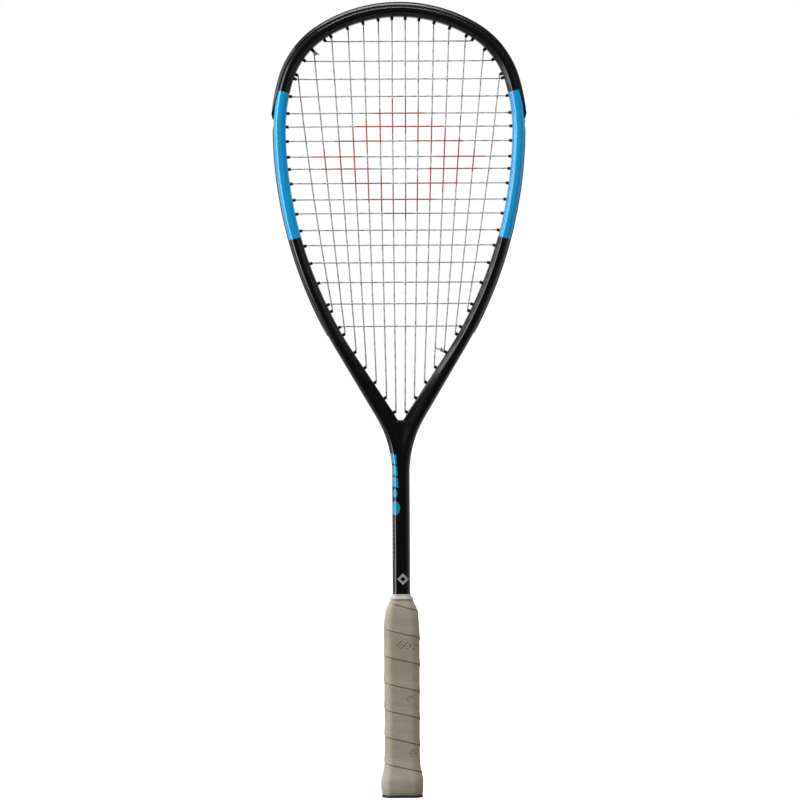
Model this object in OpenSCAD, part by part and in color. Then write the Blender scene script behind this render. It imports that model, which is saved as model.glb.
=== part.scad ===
// Squash racket with a teardrop head, strung with one length of string.
// The shaft stands along +Z and the string bed lies in the XZ plane, with its front towards -Y.
// The origin is the centre of the flat end of the butt cap.

/* [Head] */
// Length from the butt end to the top of the bumper guard
overall_length = 686; // [670:1:686]
// Radius of the crown of the head
crown_radius = 130; // [126:1:134]
// Where the crown ends, in degrees from the top
crown_angle = 31; // [29:1:33]
// Radius of the shoulders
shoulder_radius = 79; // [77:1:81]
// Where the shoulder ends, in degrees from the top
shoulder_angle = 74; // [72:1:76]
// Radius of the widest part of the sides
upper_side_radius = 160; // [150:1:170]
// Radius of the long lower sides
lower_side_radius = 378; // [370:1:386]
// Angle between each leg and the shaft
leg_angle = 30.6; // [30:0.1:31]

/* [Frame tube] */
// Width of the tube, seen from the front
tube_width = 11; // [10.5:0.1:11.5]
// Depth of the tube, from the front to the back
tube_depth = 19; // [18:0.5:21]
// Thickness of the moulded wall
wall = 1.1; // [1:0.1:1.3]
// Radius of the fillet between each leg and the shaft
throat_radius = 97; // [90:1:100]
// Width of the shaft
shaft_width = 15.3; // [15:0.1:16]
// Angle between the inner edge of each leg and the shaft
inner_leg_angle = 33.4; // [33:0.1:34]
// Height of the saddle between the legs
saddle_height = 325; // [324:0.5:327]

/* [Bumper and grommets] */
// How far the bumper guard stands out from the tube
bumper_proud = 2.3; // [2:0.1:2.6]
// Height of the two ends of the bumper guard
bumper_end_height = 585; // [584:0.5:586]
// Height where the side flanges of the bumper guard stop
flange_end_height = 609; // [606:1:612]
// How far the side strips stand out from the tube
strip_proud = 0.7; // [0.5:0.1:0.9]
// Outer diameter of a grommet barrel
barrel_diameter = 3; // [2.8:0.1:3.2]
// How far a barrel reaches inside the hoop
barrel_reach = 2.6; // [2:0.1:3]

/* [Strings] */
// Diameter of the string
string_diameter = 1.2; // [1.1:0.05:1.25]
// Heights of the cross strings, from the lowest to the highest
cross_heights = [406, 425.5, 444, 461, 476, 489, 503.5, 515.5, 529.5,
    542, 552.5, 566, 578.5, 590, 604.5, 619.5, 635, 652];
// Distances of the main strings from the centre line at the crown
main_tops = [5.8, 17.8, 31, 44.5, 59, 75, 89.3];
// Distances of the main strings from the centre line at the legs
main_feet = [6.2, 14.2, 23, 31.5, 40.2, 49.8, 60.4];
// How far each main string bows away from the centre line
main_bows = [0.5, 0.6, 0.7, 0.7, 0.7, 0.8, 2];

/* [Handle] */
// Width over the grip
grip_width = 31; // [30:0.5:32]
// Depth over the grip
grip_depth = 26.5; // [25:0.5:28]
// Thickness of the wrapped grip
grip_thickness = 1.7; // [1.4:0.1:2]
// Width over the flare at the butt
butt_width = 37.6; // [36:0.2:39]
// Height where the grip begins to taper into the shaft
grip_taper_height = 148; // [144:1:150]
// Height of the top edge of the grip
grip_top = 172; // [170:1:173]
// Height of the top edge of the finishing tape
tape_top = 175; // [174:0.5:177]

/* [Hidden] */
$fn = 48;
clearance = 0.05;
overshoot = 1;

// ---- Centre lines of the frame, as points [x, z] in the plane of the strings ----

// Unit vector at an angle measured from the top of the head, clockwise
function heading(angle) = [sin(angle), cos(angle)];
function unit(v) = v / norm(v);
function backwards(path) = [for (i = [1 : len(path)]) path[len(path) - i]];

frame_top = overall_length - bumper_proud;
crown_centre = [0, frame_top - crown_radius];
shoulder_centre = crown_centre + (crown_radius - shoulder_radius) * heading(crown_angle);
upper_side_centre = shoulder_centre + (shoulder_radius - upper_side_radius) * heading(shoulder_angle);
side_split_angle = 91;
lower_side_centre = upper_side_centre + (upper_side_radius - lower_side_radius) * heading(side_split_angle);
leg_normal_angle = 90 + leg_angle;
leg_top = lower_side_centre + lower_side_radius * heading(leg_normal_angle);
leg_outward = heading(leg_normal_angle);
leg_down = [-sin(leg_angle), -cos(leg_angle)];
shaft_half = shaft_width / 2;
leg_to_axis = (leg_top.x - shaft_half) / sin(leg_angle);
fillet_tangent = throat_radius * tan(leg_angle / 2);
leg_length = leg_to_axis - fillet_tangent;
fillet_height = leg_top.y + leg_to_axis * leg_down.y - fillet_tangent;
fillet_centre = [shaft_half + throat_radius, fillet_height];

// Each arc is [centre, radius of the outer face, start angle, end angle]
crown_arc = [crown_centre, crown_radius, 0, crown_angle];
shoulder_arc = [shoulder_centre, shoulder_radius, crown_angle, shoulder_angle];
upper_side_arc = [upper_side_centre, upper_side_radius, shoulder_angle, side_split_angle];
lower_side_arc = [lower_side_centre, lower_side_radius, side_split_angle, leg_normal_angle];
SIDE_ARCS = [shoulder_arc, upper_side_arc, lower_side_arc];

function cut_arc(arc, from, to) = [arc[0], arc[1], from, to];
whole_crown = cut_arc(crown_arc, -crown_angle, crown_angle);
function angle_at_height(arc, height) = acos((height - arc[0].y) / arc[1]);
function arc_point(arc, depth, angle) = arc[0] + (arc[1] - depth) * heading(angle);

// ---- Sections of the tube: x is the depth below the outer face, y runs from back to front ----

outer_face_half = 4.2;
slope_width = 4;
tube_rounding = 2;
channel_depth = 2.4;
channel_half = 3.2;
channel_floor = channel_depth + wall;

// Points of a rounded corner at p, between its neighbours a and b
function corner(a, p, b, r, steps) =
    let (
        to_a = unit(a - p),
        to_b = unit(b - p),
        half = acos(to_a * to_b) / 2,
        centre = p + unit(to_a + to_b) * r / sin(half),
        start = p + to_a * r / tan(half) - centre,
        finish = p + to_b * r / tan(half) - centre,
        first = atan2(start.y, start.x),
        turn = atan2(start.x * finish.y - start.y * finish.x, start * finish)
    )
    [for (i = [0 : steps]) centre + r * [cos(first + turn * i / steps), sin(first + turn * i / steps)]];

function rounded(points, r, steps) =
    let (n = len(points))
    [for (i = [0 : n - 1]) each corner(points[(i + n - 1) % n], points[i], points[(i + 1) % n], r, steps)];

// Six-sided section with flat crests, given its extent in depth and half heights
function crest_section(low, high, face, crest, slope) = [
    [low, -face], [low + slope, -crest], [high - slope, -crest], [high, -face],
    [high, face], [high - slope, crest], [low + slope, crest], [low, face]
];

module tube_section() {
    outline = crest_section(0, tube_width, outer_face_half, tube_depth / 2, slope_width);
    polygon(rounded(outline, tube_rounding, 2));
}

// Bore of the tube, where low is the thickness left at the outer face
module bore_section(low = channel_floor) {
    crest = tube_depth / 2 - wall;
    face = outer_face_half - wall / 2;
    rise = (crest - face) / slope_width;
    flank = slope_width + wall / 2;
    polygon([
        [low, -face - rise * (low - wall)], [flank, -crest], [tube_width - flank, -crest],
        [tube_width - wall, -face], [tube_width - wall, face],
        [tube_width - flank, crest], [flank, crest], [low, face + rise * (low - wall)]
    ]);
}

// Section of the tube with the channel for the grommet strips in its outer face
module grooved_section() {
    difference() {
        tube_section();
        translate([-overshoot, -channel_half]) square([channel_depth + overshoot, 2 * channel_half]);
    }
}

// Full section of the shaft, in x and y, enlarged by a margin all round
module shaft_section(margin = 0) {
    face = outer_face_half + margin / 2;
    crest = tube_depth / 2 + margin;
    half = shaft_half + margin;
    polygon(rounded(crest_section(-half, half, face, crest, slope_width), tube_rounding, 2));
}

// ---- Sweeps on the right-hand side of the racket ----

// Neighbouring sweeps run into each other by this angle or length, so that they join
splice = 0.002;

// Sweep a section around one arc of the hoop
module along_arc(arc) {
    translate([arc[0].x, 0, arc[0].y])
        rotate([90, 0, 0])
            rotate_extrude(angle = arc[3] - arc[2] + 2 * splice, start = 90 - arc[3] - splice, $fn = 180)
                translate([arc[1], 0]) mirror([1, 0]) children();
}

// The leg laps its neighbours by this length, and is slimmer by this share so that its ends lie inside them
leg_lap = 0.05;
leg_share = 0.999;

// Sweep a section down the straight leg
module along_leg() {
    translate([leg_top.x, 0, leg_top.y])
        rotate([0, 180 + leg_angle, 0])
            translate([tube_width / 2, 0, -leg_lap])
                linear_extrude(leg_length + 2 * leg_lap)
                    scale(leg_share) translate([-tube_width / 2, 0]) children();
}

// Sweep a section around the fillet, between two angles counted from the leg towards the shaft
module along_fillet(from, to) {
    translate([fillet_centre.x, 0, fillet_centre.y])
        rotate([90, 0, 0])
            rotate_extrude(
                angle = to - from + 2 * splice,
                start = 180 - leg_angle + from - splice,
                $fn = 180
            )
                translate([throat_radius, 0]) children();
}

// Sweep a section from the crown to just below the last grommet of the leg
channel_turn = 9;
module along_channel() {
    for (arc = [crown_arc, each SIDE_ARCS]) along_arc(arc) children();
    along_leg() children();
    along_fillet(0, channel_turn) children();
}

// Keep what is on the right of a plane beside the centre line
half_space = 200;
module right_of(x) {
    intersection() {
        children();
        translate([x, -half_space / 2, 0]) cube([half_space, half_space, overall_length + half_space]);
    }
}

module both_sides() {
    children();
    mirror([1, 0, 0]) children();
}

// ---- Grommets: each is [x, z, angle of the outward normal, thickness of the frame there] ----

function arc_end(arc) = arc_point(arc, tube_width, arc[3]);

// Grommet in the side of the hoop whose barrel ends at this height, level with its cross string
function side_arc_for(height) =
    height > arc_end(shoulder_arc).y ? shoulder_arc
    : height > arc_end(upper_side_arc).y ? upper_side_arc
    : lower_side_arc;

function side_grommet(height) =
    let (
        arc = side_arc_for(height),
        angle = acos((height - arc[0].y) / (arc[1] - tube_width - barrel_reach))
    )
    [each arc_point(arc, tube_width, angle), angle, tube_width];

// Grommet in the crown or shoulder for a main string at this distance
function crown_grommet(x) =
    let (
        arc = x < arc_end(crown_arc).x ? crown_arc : shoulder_arc,
        angle = asin((x - arc[0].x) / (arc[1] - tube_width))
    )
    [each arc_point(arc, tube_width, angle), angle, tube_width];

// Below this distance from the centre line a gusset thickens the legs
gusset_half = 42;
leg_inner_top = leg_top - tube_width * leg_outward;
gusset_top = leg_inner_top + leg_down * (leg_inner_top.x - gusset_half) / sin(leg_angle);
function gusset_edge(x) = [x, gusset_top.y - (gusset_half - x) / tan(inner_leg_angle)];

// Distance from a point of the gusset to the outer face, along the normal of the leg
function gusset_span(p) =
    let (
        from_top = leg_top - p,
        v = p - fillet_centre,
        reach = v * leg_outward
    )
    -from_top * leg_down < leg_length ? from_top * leg_outward
    : -reach - sqrt(reach * reach - v * v + throat_radius * throat_radius);

// Grommet in the leg or the lower side for a main string at this distance
function foot_grommet(x) =
    x < gusset_half ? [each gusset_edge(x), leg_normal_angle, gusset_span(gusset_edge(x))]
    : x < leg_inner_top.x
    ? [each leg_inner_top + leg_down * (leg_inner_top.x - x) / sin(leg_angle), leg_normal_angle, tube_width]
    : let (angle = 180 - asin((x - lower_side_centre.x) / (lower_side_radius - tube_width)))
        [each arc_point(lower_side_arc, tube_width, angle), angle, tube_width];

main_count = len(main_tops);
cross_count = len(cross_heights);
crown_grommets = [for (x = main_tops) crown_grommet(x)];
foot_grommets = [for (x = main_feet) foot_grommet(x)];
side_grommets = [for (h = cross_heights) side_grommet(h)];
BUMPER_GROMMETS = [each crown_grommets, for (g = side_grommets) if (g.y > bumper_end_height) g];
SIDE_STRIP_GROMMETS = [
    for (g = side_grommets) if (g.y < bumper_end_height) g,
    foot_grommets[main_count - 1]
];
THROAT_GROMMETS = [for (k = [0 : main_count - 2]) foot_grommets[k]];

// Place children at a grommet, with +Z along its outward normal
module at_grommet(grommet) {
    translate([grommet.x, 0, grommet.y]) rotate([0, grommet[2], 0]) children();
}

hole_clearance = 0.1;
hole_length = 3 * tube_width;
barrel_sides = 24;
module grommet_holes(grommets) {
    for (g = grommets)
        at_grommet(g)
            translate([0, 0, -hole_length / 4])
                cylinder(h = hole_length, d = barrel_diameter + hole_clearance, $fn = barrel_sides);
}

// ---- Frame ----

gusset_depth = 13;
gusset_foot = 300;
saddle_half = 4.5;
// The gusset thickens the legs on the inside and fills the sharp corner between them
module gusset() {
    half_outline = [
        [saddle_half - 2, saddle_height], [saddle_half, saddle_height + 1],
        gusset_edge(gusset_half + 4), gusset_edge(gusset_half + 4) - [0, 4]
    ];
    count = len(half_outline);
    mirrored = [for (i = [1 : count]) [-half_outline[count - i].x, half_outline[count - i].y]];
    translate([0, gusset_depth / 2, 0])
        rotate([90, 0, 0])
            linear_extrude(gusset_depth)
                polygon([each half_outline, [0, gusset_foot], each mirrored]);
}

shaft_foot = 6;
septum = 1.2;
module half_tube() {
    along_channel() grooved_section();
    along_fillet(channel_turn, leg_angle) tube_section();
}

module half_bore() {
    along_channel() bore_section();
    along_fillet(channel_turn, leg_angle) bore_section();
}

module shaft_bore() {
    translate([0, 0, -overshoot])
        linear_extrude(fillet_height + overshoot)
            intersection() {
                translate([shaft_half, 0]) mirror([1, 0]) bore_section(wall);
                translate([septum / 2, -tube_depth]) square([shaft_width, 2 * tube_depth]);
            }
}

module frame() {
    color([0.05, 0.05, 0.06])
        difference() {
            union() {
                both_sides() right_of(0) half_tube();
                translate([0, 0, shaft_foot]) linear_extrude(fillet_height - shaft_foot) shaft_section();
                gusset();
            }
            both_sides() {
                right_of(septum / 2) half_bore();
                shaft_bore();
                grommet_holes(BUMPER_GROMMETS);
                grommet_holes(SIDE_STRIP_GROMMETS);
                grommet_holes(THROAT_GROMMETS);
            }
        }
}

// ---- Bumper guard and grommet strips ----

rail_half = channel_half - clearance;
slot_half = 2;
slot_floor = 0.5;
throat_slot_floor = 1.4;

// U-shaped strip that lies in the channel, with a slot for the strings between its rails
module strip_section(proud, floor = slot_floor) {
    foot = channel_depth - clearance;
    polygon([
        [foot, -rail_half], [foot, rail_half], [-proud, rail_half], [-proud, slot_half],
        [floor, slot_half], [floor, -slot_half], [-proud, -slot_half], [-proud, -rail_half]
    ]);
}

// Section of the bumper: a strip whose rails reach over the outer face and onto the slopes
flange_wrap = 1.7;
module bumper_section() {
    foot = channel_depth - clearance;
    edge = outer_face_half + flange_wrap * (tube_depth / 2 - outer_face_half) / slope_width;
    half_outline = [
        [foot, rail_half], [-clearance, rail_half], [-clearance, outer_face_half],
        [flange_wrap - clearance, edge + 2 * clearance], [flange_wrap / 2, edge + 0.5],
        [-bumper_proud / 2, outer_face_half + 1.6], [-bumper_proud, rail_half],
        [-bumper_proud, slot_half], [slot_floor, slot_half]
    ];
    polygon([each half_outline, for (p = backwards(half_outline)) [p.x, -p.y]]);
}

// Barrels run along the normal, from the strip through the tube to inside the hoop
root = 0.5;
module barrels(grommets) {
    for (g = grommets) {
        length = barrel_reach + g[3] - channel_depth + root;
        at_grommet(g)
            translate([0, 0, -barrel_reach])
                cylinder(h = length, d = barrel_diameter, $fn = barrel_sides);
    }
}

bore_clearance = 0.4;
module barrel_bores(grommets) {
    for (g = grommets)
        at_grommet(g)
            translate([0, 0, -barrel_reach - overshoot])
                cylinder(h = hole_length, d = string_diameter + bore_clearance, $fn = barrel_sides);
}

module bumper_guard() {
    flange_end = angle_at_height(upper_side_arc, flange_end_height);
    rail_end = angle_at_height(upper_side_arc, bumper_end_height);
    color([0.08, 0.08, 0.09])
        difference() {
            union() {
                along_arc(whole_crown) bumper_section();
                both_sides() {
                    along_arc(shoulder_arc) bumper_section();
                    along_arc(cut_arc(upper_side_arc, shoulder_angle, flange_end)) bumper_section();
                    along_arc(cut_arc(upper_side_arc, flange_end, rail_end)) strip_section(bumper_proud);
                    barrels(BUMPER_GROMMETS);
                }
            }
            both_sides() barrel_bores(BUMPER_GROMMETS);
        }
}

side_strip_top = 581;
side_strip_foot = 395.5;
strip_gap = 0.3;
module side_strip() {
    top = angle_at_height(upper_side_arc, side_strip_top);
    foot = angle_at_height(lower_side_arc, side_strip_foot);
    color([0.08, 0.08, 0.09])
        difference() {
            union() {
                along_arc(cut_arc(upper_side_arc, top, side_split_angle)) strip_section(strip_proud);
                along_arc(cut_arc(lower_side_arc, side_split_angle, foot)) strip_section(strip_proud);
                barrels(SIDE_STRIP_GROMMETS);
            }
            barrel_bores(SIDE_STRIP_GROMMETS);
        }
}

throat_strip_recess = 0.2;
throat_strip_turn = 8;
module throat_strip_section() {
    strip_section(-throat_strip_recess, throat_slot_floor);
}

module throat_strip() {
    top = angle_at_height(lower_side_arc, side_strip_foot) + strip_gap;
    color([0.08, 0.08, 0.09])
        difference() {
            union() {
                along_arc(cut_arc(lower_side_arc, top, leg_normal_angle)) throat_strip_section();
                along_leg() throat_strip_section();
                along_fillet(0, throat_strip_turn) throat_strip_section();
                barrels(THROAT_GROMMETS);
            }
            barrel_bores(THROAT_GROMMETS);
        }
}

module side_strip_right() { side_strip(); }
module side_strip_left() { mirror([1, 0, 0]) side_strip(); }
module throat_strip_right() { throat_strip(); }
module throat_strip_left() { mirror([1, 0, 0]) throat_strip(); }

// ---- Strings ----

string_radius = string_diameter / 2;
string_sides = 6;
// The loops of the main strings lie beside those of the cross strings in the slots
lane = string_radius + 0.68;
loop_depth = slot_floor - string_radius - clearance;
foot_loop_depth = throat_slot_floor - string_radius - clearance;
bend = 0.8;
turn_length = 1.6;
weave_height = string_diameter + clearance;
weave_flat = 1;

// Point [x, z] on the axis of a grommet, at a depth below the outer face
function axis_point(g, depth) = [g.x, g.y] + (g[3] - depth) * heading(g[2]);
function tip(g) = axis_point(g, g[3] + barrel_reach);
// Place a point [x, z] on the left or right, at a distance y behind the plane of the strings
function placed(p, side, y = 0) = [side * p.x, y, p.y];

function arc_at(angle) = angle < crown_angle ? crown_arc
    : angle < shoulder_angle ? shoulder_arc
    : angle < side_split_angle ? upper_side_arc
    : lower_side_arc;

// Points of a slot between two angles of the hoop on one side, clear of the grommets there
function slot_points(from, to, side, y) =
    let (
        gap = sign(to - from) * turn_length * 180 / PI,
        start = from + gap / arc_at(from)[1],
        finish = to - gap / arc_at(to)[1]
    )
    [for (i = [0 : 3])
        let (angle = start + (finish - start) * i / 3)
        placed(arc_point(arc_at(angle), loop_depth, angle), side, y)];

// Points of a slot between two grommets of a leg
function leg_slot_points(from, to, side, y) =
    let (
        a = axis_point(from, foot_loop_depth),
        b = axis_point(to, foot_loop_depth),
        step = unit(b - a) * turn_length
    )
    [placed(a + step, side, y), placed(b - step, side, y)];

// Ring of points around a path, square to its direction
function ring_at(path, i, r) =
    let (
        n = len(path),
        before = unit(i == 0 ? path[1] - path[0] : path[i] - path[i - 1]),
        after = unit(i == n - 1 ? path[i] - path[i - 1] : path[i + 1] - path[i]),
        tangent = unit(before + after),
        across = unit(cross(tangent, [0, 1, 0])),
        upward = cross(across, tangent)
    )
    [for (k = [0 : string_sides - 1])
        path[i] + r * (cos(360 * k / string_sides) * across + sin(360 * k / string_sides) * upward)];

// Solid string of constant thickness along a path
module swept_string(path) {
    n = len(path);
    s = string_sides;
    points = [for (i = [0 : n - 1]) each ring_at(path, i, string_radius)];
    skin = [for (i = [0 : n - 2], k = [0 : s - 1])
        [i * s + k, i * s + (k + 1) % s, (i + 1) * s + (k + 1) % s, (i + 1) * s + k]];
    start_cap = [for (k = [0 : s - 1]) s - 1 - k];
    end_cap = [for (k = [0 : s - 1]) (n - 1) * s + k];
    polyhedron(points, [start_cap, each skin, end_cap], convexity = 20);
}

// Point [x, z] of a main string, from 0 at its foot to 1 at its top
main_spans = 6;
function main_point(k, t) =
    let (foot = tip(foot_grommets[k]), top = tip(crown_grommets[k]))
    foot + (top - foot) * t + [4 * main_bows[k] * t * (1 - t), 0];

// One main string between the outer ends of its two grommets, from the foot upwards
function main_run(k, side) =
    let (
        foot = foot_grommets[k],
        foot_depth = k == main_count - 1 ? loop_depth : foot_loop_depth
    )
    [placed(axis_point(foot, foot_depth + bend), side),
        for (i = [0 : main_spans]) placed(main_point(k, i / main_spans), side),
        placed(axis_point(crown_grommets[k], loop_depth + bend), side)];

// The half from the outermost main string to the loop at the top of the crown
function half_route(side) = [
    for (k = [main_count - 1 : -1 : 0]) each [
        each k % 2 == 0 ? main_run(k, side) : backwards(main_run(k, side)),
        each k == 0 ? []
            : k % 2 == 0 ? slot_points(crown_grommets[k][2], crown_grommets[k - 1][2], side, lane)
            : leg_slot_points(foot_grommets[k], foot_grommets[k - 1], side, lane)
    ]
];

function top_loop() =
    let (edge = crown_grommets[0][2] - turn_length * 180 / PI / crown_radius)
    [for (i = [-1 : 1]) placed(arc_point(crown_arc, loop_depth, edge * i), 1, lane)];

// Free end in the side slot, below the foot of the outermost main string
function slot_end(side, reach) =
    let (
        angle = foot_grommets[main_count - 1][2],
        degrees = 180 / PI / lower_side_radius
    )
    [for (d = [reach, turn_length])
        placed(arc_point(lower_side_arc, loop_depth, angle + d * degrees), side, lane)];

main_end_reach = 5;
module main_string() {
    color([0.9, 0.9, 0.9])
        swept_string([
            each slot_end(1, main_end_reach),
            each half_route(1),
            each backwards(top_loop()),
            each backwards(half_route(-1)),
            each backwards(slot_end(-1, main_end_reach))
        ]);
}

// Distance from the centre line of a main string at a height
function main_x(k, height) =
    let (
        foot = tip(foot_grommets[k]),
        top = tip(crown_grommets[k]),
        t = (height - foot.y) / (top.y - foot.y)
    )
    main_point(k, t).x;

// Signed positions of the main strings that a cross string passes, from the left
function crossings(height, half) =
    let (
        spans = [for (k = [0 : main_count - 1])
            if (height > tip(foot_grommets[k]).y && height < tip(crown_grommets[k]).y) k],
        right = [for (k = spans) if (main_x(k, height) < half) [main_x(k, height), main_count + k]],
        left = [for (c = backwards(right)) [-c[0], 2 * main_count - 1 - c[1]]]
    )
    [each left, each right];

// One cross string from left to right, passing in front of and behind the main strings in turn
function cross_run(j) =
    let (
        g = side_grommets[j],
        end = tip(g),
        height = end.y
    )
    [placed(axis_point(g, loop_depth + bend), -1), placed(end, -1),
        for (c = crossings(height, end.x))
            let (y = (c[1] + j) % 2 == 0 ? weave_height : -weave_height)
            for (dx = [-weave_flat, weave_flat]) [c[0] + dx, y, height],
        placed(end, 1), placed(axis_point(g, loop_depth + bend), 1)];

module cross_string() {
    first = side_grommets[0];
    run_in = foot_grommets[main_count - 1][2] + main_end_reach * 180 / PI / lower_side_radius;
    color([0.9, 0.9, 0.9])
        swept_string([
            placed(arc_point(lower_side_arc, loop_depth, run_in), -1, lane),
            placed(arc_point(lower_side_arc, loop_depth, first[2]) + turn_length * [0.4, 1], -1, lane),
            for (j = [0 : cross_count - 1]) each [
                each j % 2 == 0 ? cross_run(j) : backwards(cross_run(j)),
                each j == cross_count - 1 ? []
                    : slot_points(side_grommets[j][2], side_grommets[j + 1][2], j % 2 == 0 ? 1 : -1, -lane)
            ]
        ]);
}

// Knots where the two ends of the string are tied off, with their short tails
knot_diameter = 3.4;
knot_length = 2.4;
tail_length = 5;
module tie_off_knot(grommet, lean) {
    at_grommet(grommet)
        translate([0, 0, -barrel_reach - knot_length - clearance])
            difference() {
                union() {
                    cylinder(h = knot_length, d = knot_diameter);
                    translate([0, -knot_diameter / 2 + 0.2, knot_length / 2])
                        rotate([lean, 0, 0])
                            cylinder(h = tail_length, d = string_diameter);
                }
                translate([0, 0, -overshoot])
                    cylinder(h = hole_length, d = string_diameter + 2 * bore_clearance);
            }
}

module tie_off_knots() {
    color([0.85, 0.85, 0.85]) {
        tie_off_knot(foot_grommets[4], 100);
        mirror([1, 0, 0]) tie_off_knot(crown_grommets[5], 100);
    }
}

// ---- Handle ----

bevel_share = 0.34;
handle_rounding = 1.2;

// Ring of points of a bevelled handle at a height, given half its width and half its depth
function handle_ring(station) =
    let (
        height = station[0],
        w = station[1],
        d = station[2],
        bw = w * (1 - bevel_share),
        bd = d * (1 - bevel_share),
        outline = [[bw, -d], [w, -bd], [w, bd], [bw, d], [-bw, d], [-w, bd], [-w, -bd], [-bw, -d]]
    )
    [for (p = rounded(outline, handle_rounding, 1)) [p.x, p.y, height]];

function shrunk(stations, margin) = [for (s = stations) [s[0], s[1] - margin, s[2] - margin]];

// Solid through rings stacked upwards
module handle_loft(stations) {
    n = len(stations);
    points = [for (s = stations) each handle_ring(s)];
    m = len(points) / n;
    skin = [for (i = [0 : n - 2], k = [0 : m - 1])
        [i * m + k, (i + 1) * m + k, (i + 1) * m + (k + 1) % m, i * m + (k + 1) % m]];
    polyhedron(points, [[for (k = [0 : m - 1]) k], each skin, [for (k = [0 : m - 1]) n * m - 1 - k]]);
}

// Sleeve between an outer and an inner stack of rings
module handle_sleeve(outer, inner) {
    stations = [each outer, each backwards(inner)];
    n = len(stations);
    points = [for (s = stations) each handle_ring(s)];
    m = len(points) / n;
    polyhedron(points, [for (i = [0 : n - 1], k = [0 : m - 1])
        [i * m + k, ((i + 1) % n) * m + k, ((i + 1) % n) * m + (k + 1) % m, i * m + (k + 1) % m]]);
}

grip_half = grip_width / 2;
grip_half_depth = grip_depth / 2;
butt_half = butt_width / 2;
flare_depth = grip_half - grip_half_depth;
shaft_half_depth = tube_depth / 2;
cap_lip = 2;

// Outer surface of the grip: each station is height, half the width and half the depth
flare_foot_inset = 0.4;
flare_height = 12.5;
// Heights above the widest part of the flare, each with how far it stands out from the grip there
flare_bulges = [[19, 2.6], [26, 0.9], [34, 0.2]];
flare_stations = [
    [cap_lip, butt_half - flare_foot_inset, butt_half - flare_foot_inset - flare_depth],
    [flare_height, butt_half, butt_half - flare_depth],
    for (b = flare_bulges) [b.x, grip_half + b.y, grip_half_depth + b.y]
];
barrel_stations = [
    [55, grip_half, grip_half_depth],
    [grip_taper_height, grip_half, grip_half_depth]
];
// Heights of the taper, each with how far it draws in across the width and the depth
taper_steps = [[157, 0.9, 0.3], [164, 2.6, 0.8], [168, 4.4, 1.4]];
top_margin = grip_thickness + 2 * clearance;
taper_stations = [
    for (s = taper_steps) [s[0], grip_half - s[1], grip_half_depth - s[2]],
    [grip_top, shaft_half + top_margin, shaft_half_depth + top_margin]
];
grip_stations = [each flare_stations, each barrel_stations, each taper_stations];
grip_lining = shrunk(grip_stations, grip_thickness);

pallet_foot = 4;
cap_skirt_top = 28;
core_half = grip_half - grip_thickness - clearance;
core_half_depth = grip_half_depth - grip_thickness - clearance;
pallet_top_stations = [for (i = [0 : 2]) taper_stations[i]];

module handle_pallet() {
    color([0.75, 0.72, 0.6])
        difference() {
            handle_loft([
                [pallet_foot, core_half, core_half_depth],
                [grip_taper_height, core_half, core_half_depth],
                each shrunk(pallet_top_stations, grip_thickness + clearance)
            ]);
            translate([0, 0, -overshoot]) linear_extrude(overall_length) shaft_section(clearance);
            staple_wires();
        }
}

cap_inset = 0.2;
lip_gap = 0.1;
skirt_bulge = 0.7;
// Half sizes of the lip of the cap, from the flat end up
lip_steps = [[0, 1.2], [1, 0.3], [cap_lip - lip_gap, 0]];
module butt_cap() {
    lip = butt_half - cap_inset;
    skirt = [
        flare_stations[0] - [lip_gap, 0, 0],
        for (i = [1 : 3]) flare_stations[i],
        [cap_skirt_top, grip_half + skirt_bulge, grip_half_depth + skirt_bulge]
    ];
    color([0.06, 0.06, 0.06])
        difference() {
            handle_loft([
                for (s = lip_steps) [s.x, lip - s.y, lip - s.y - flare_depth],
                each shrunk(skirt, grip_thickness + clearance)
            ]);
            handle_loft([
                [pallet_foot - clearance, core_half + clearance, core_half_depth + clearance],
                [cap_skirt_top + overshoot, core_half + clearance, core_half_depth + clearance]
            ]);
            staple_wires();
        }
}

staple_wire = 0.9;
staple_crown = 9;
staple_height = 17;
staple_leg = 7;
staple_face = 16;
// Two staples pin the skirt of the cap to the pallet, one on each narrow side
module staple_wires() {
    both_sides()
        translate([staple_face - staple_wire, -staple_crown / 2, staple_height]) {
            cube([staple_wire, staple_crown, staple_wire]);
            for (y = [0, staple_crown - staple_wire])
                translate([-staple_leg, y, 0]) cube([staple_leg, staple_wire, staple_wire]);
        }
}

module butt_staples() {
    color([0.75, 0.75, 0.78]) staple_wires();
}

module grip_wrap() {
    color([0.62, 0.58, 0.52]) handle_sleeve(grip_stations, grip_lining);
}

tape_thickness = 0.3;
tape_share = 0.6;
tape_step = 0.2;
module finishing_tape() {
    neck = shaft_half + clearance;
    neck_depth = shaft_half_depth + clearance;
    brow = taper_stations[3];
    foot = taper_stations[2] + tape_share * (brow - taper_stations[2]);
    inner = [foot, brow, [grip_top + tape_step, neck, neck_depth], [tape_top, neck, neck_depth]];
    color([0.88, 0.87, 0.84])
        handle_sleeve(
            [for (s = inner) [s[0], s[1] + tape_thickness + clearance, s[2] + tape_thickness + clearance]],
            shrunk(inner, -clearance));
}

frame();
bumper_guard();
side_strip_left();
side_strip_right();
throat_strip_left();
throat_strip_right();
main_string();
cross_string();
tie_off_knots();
handle_pallet();
butt_cap();
butt_staples();
grip_wrap();
finishing_tape();
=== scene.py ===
"""A strung squash racket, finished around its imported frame.

The racket stands on its butt with +Z towards the head. Its strings lie in the XZ plane and its front
faces -Y. Lengths are in metres and angles in degrees.
"""
import logging
import math
from collections.abc import Callable, Sequence
from dataclasses import dataclass, field
from enum import Enum

import bmesh
import bpy
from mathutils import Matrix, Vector, noise


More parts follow.
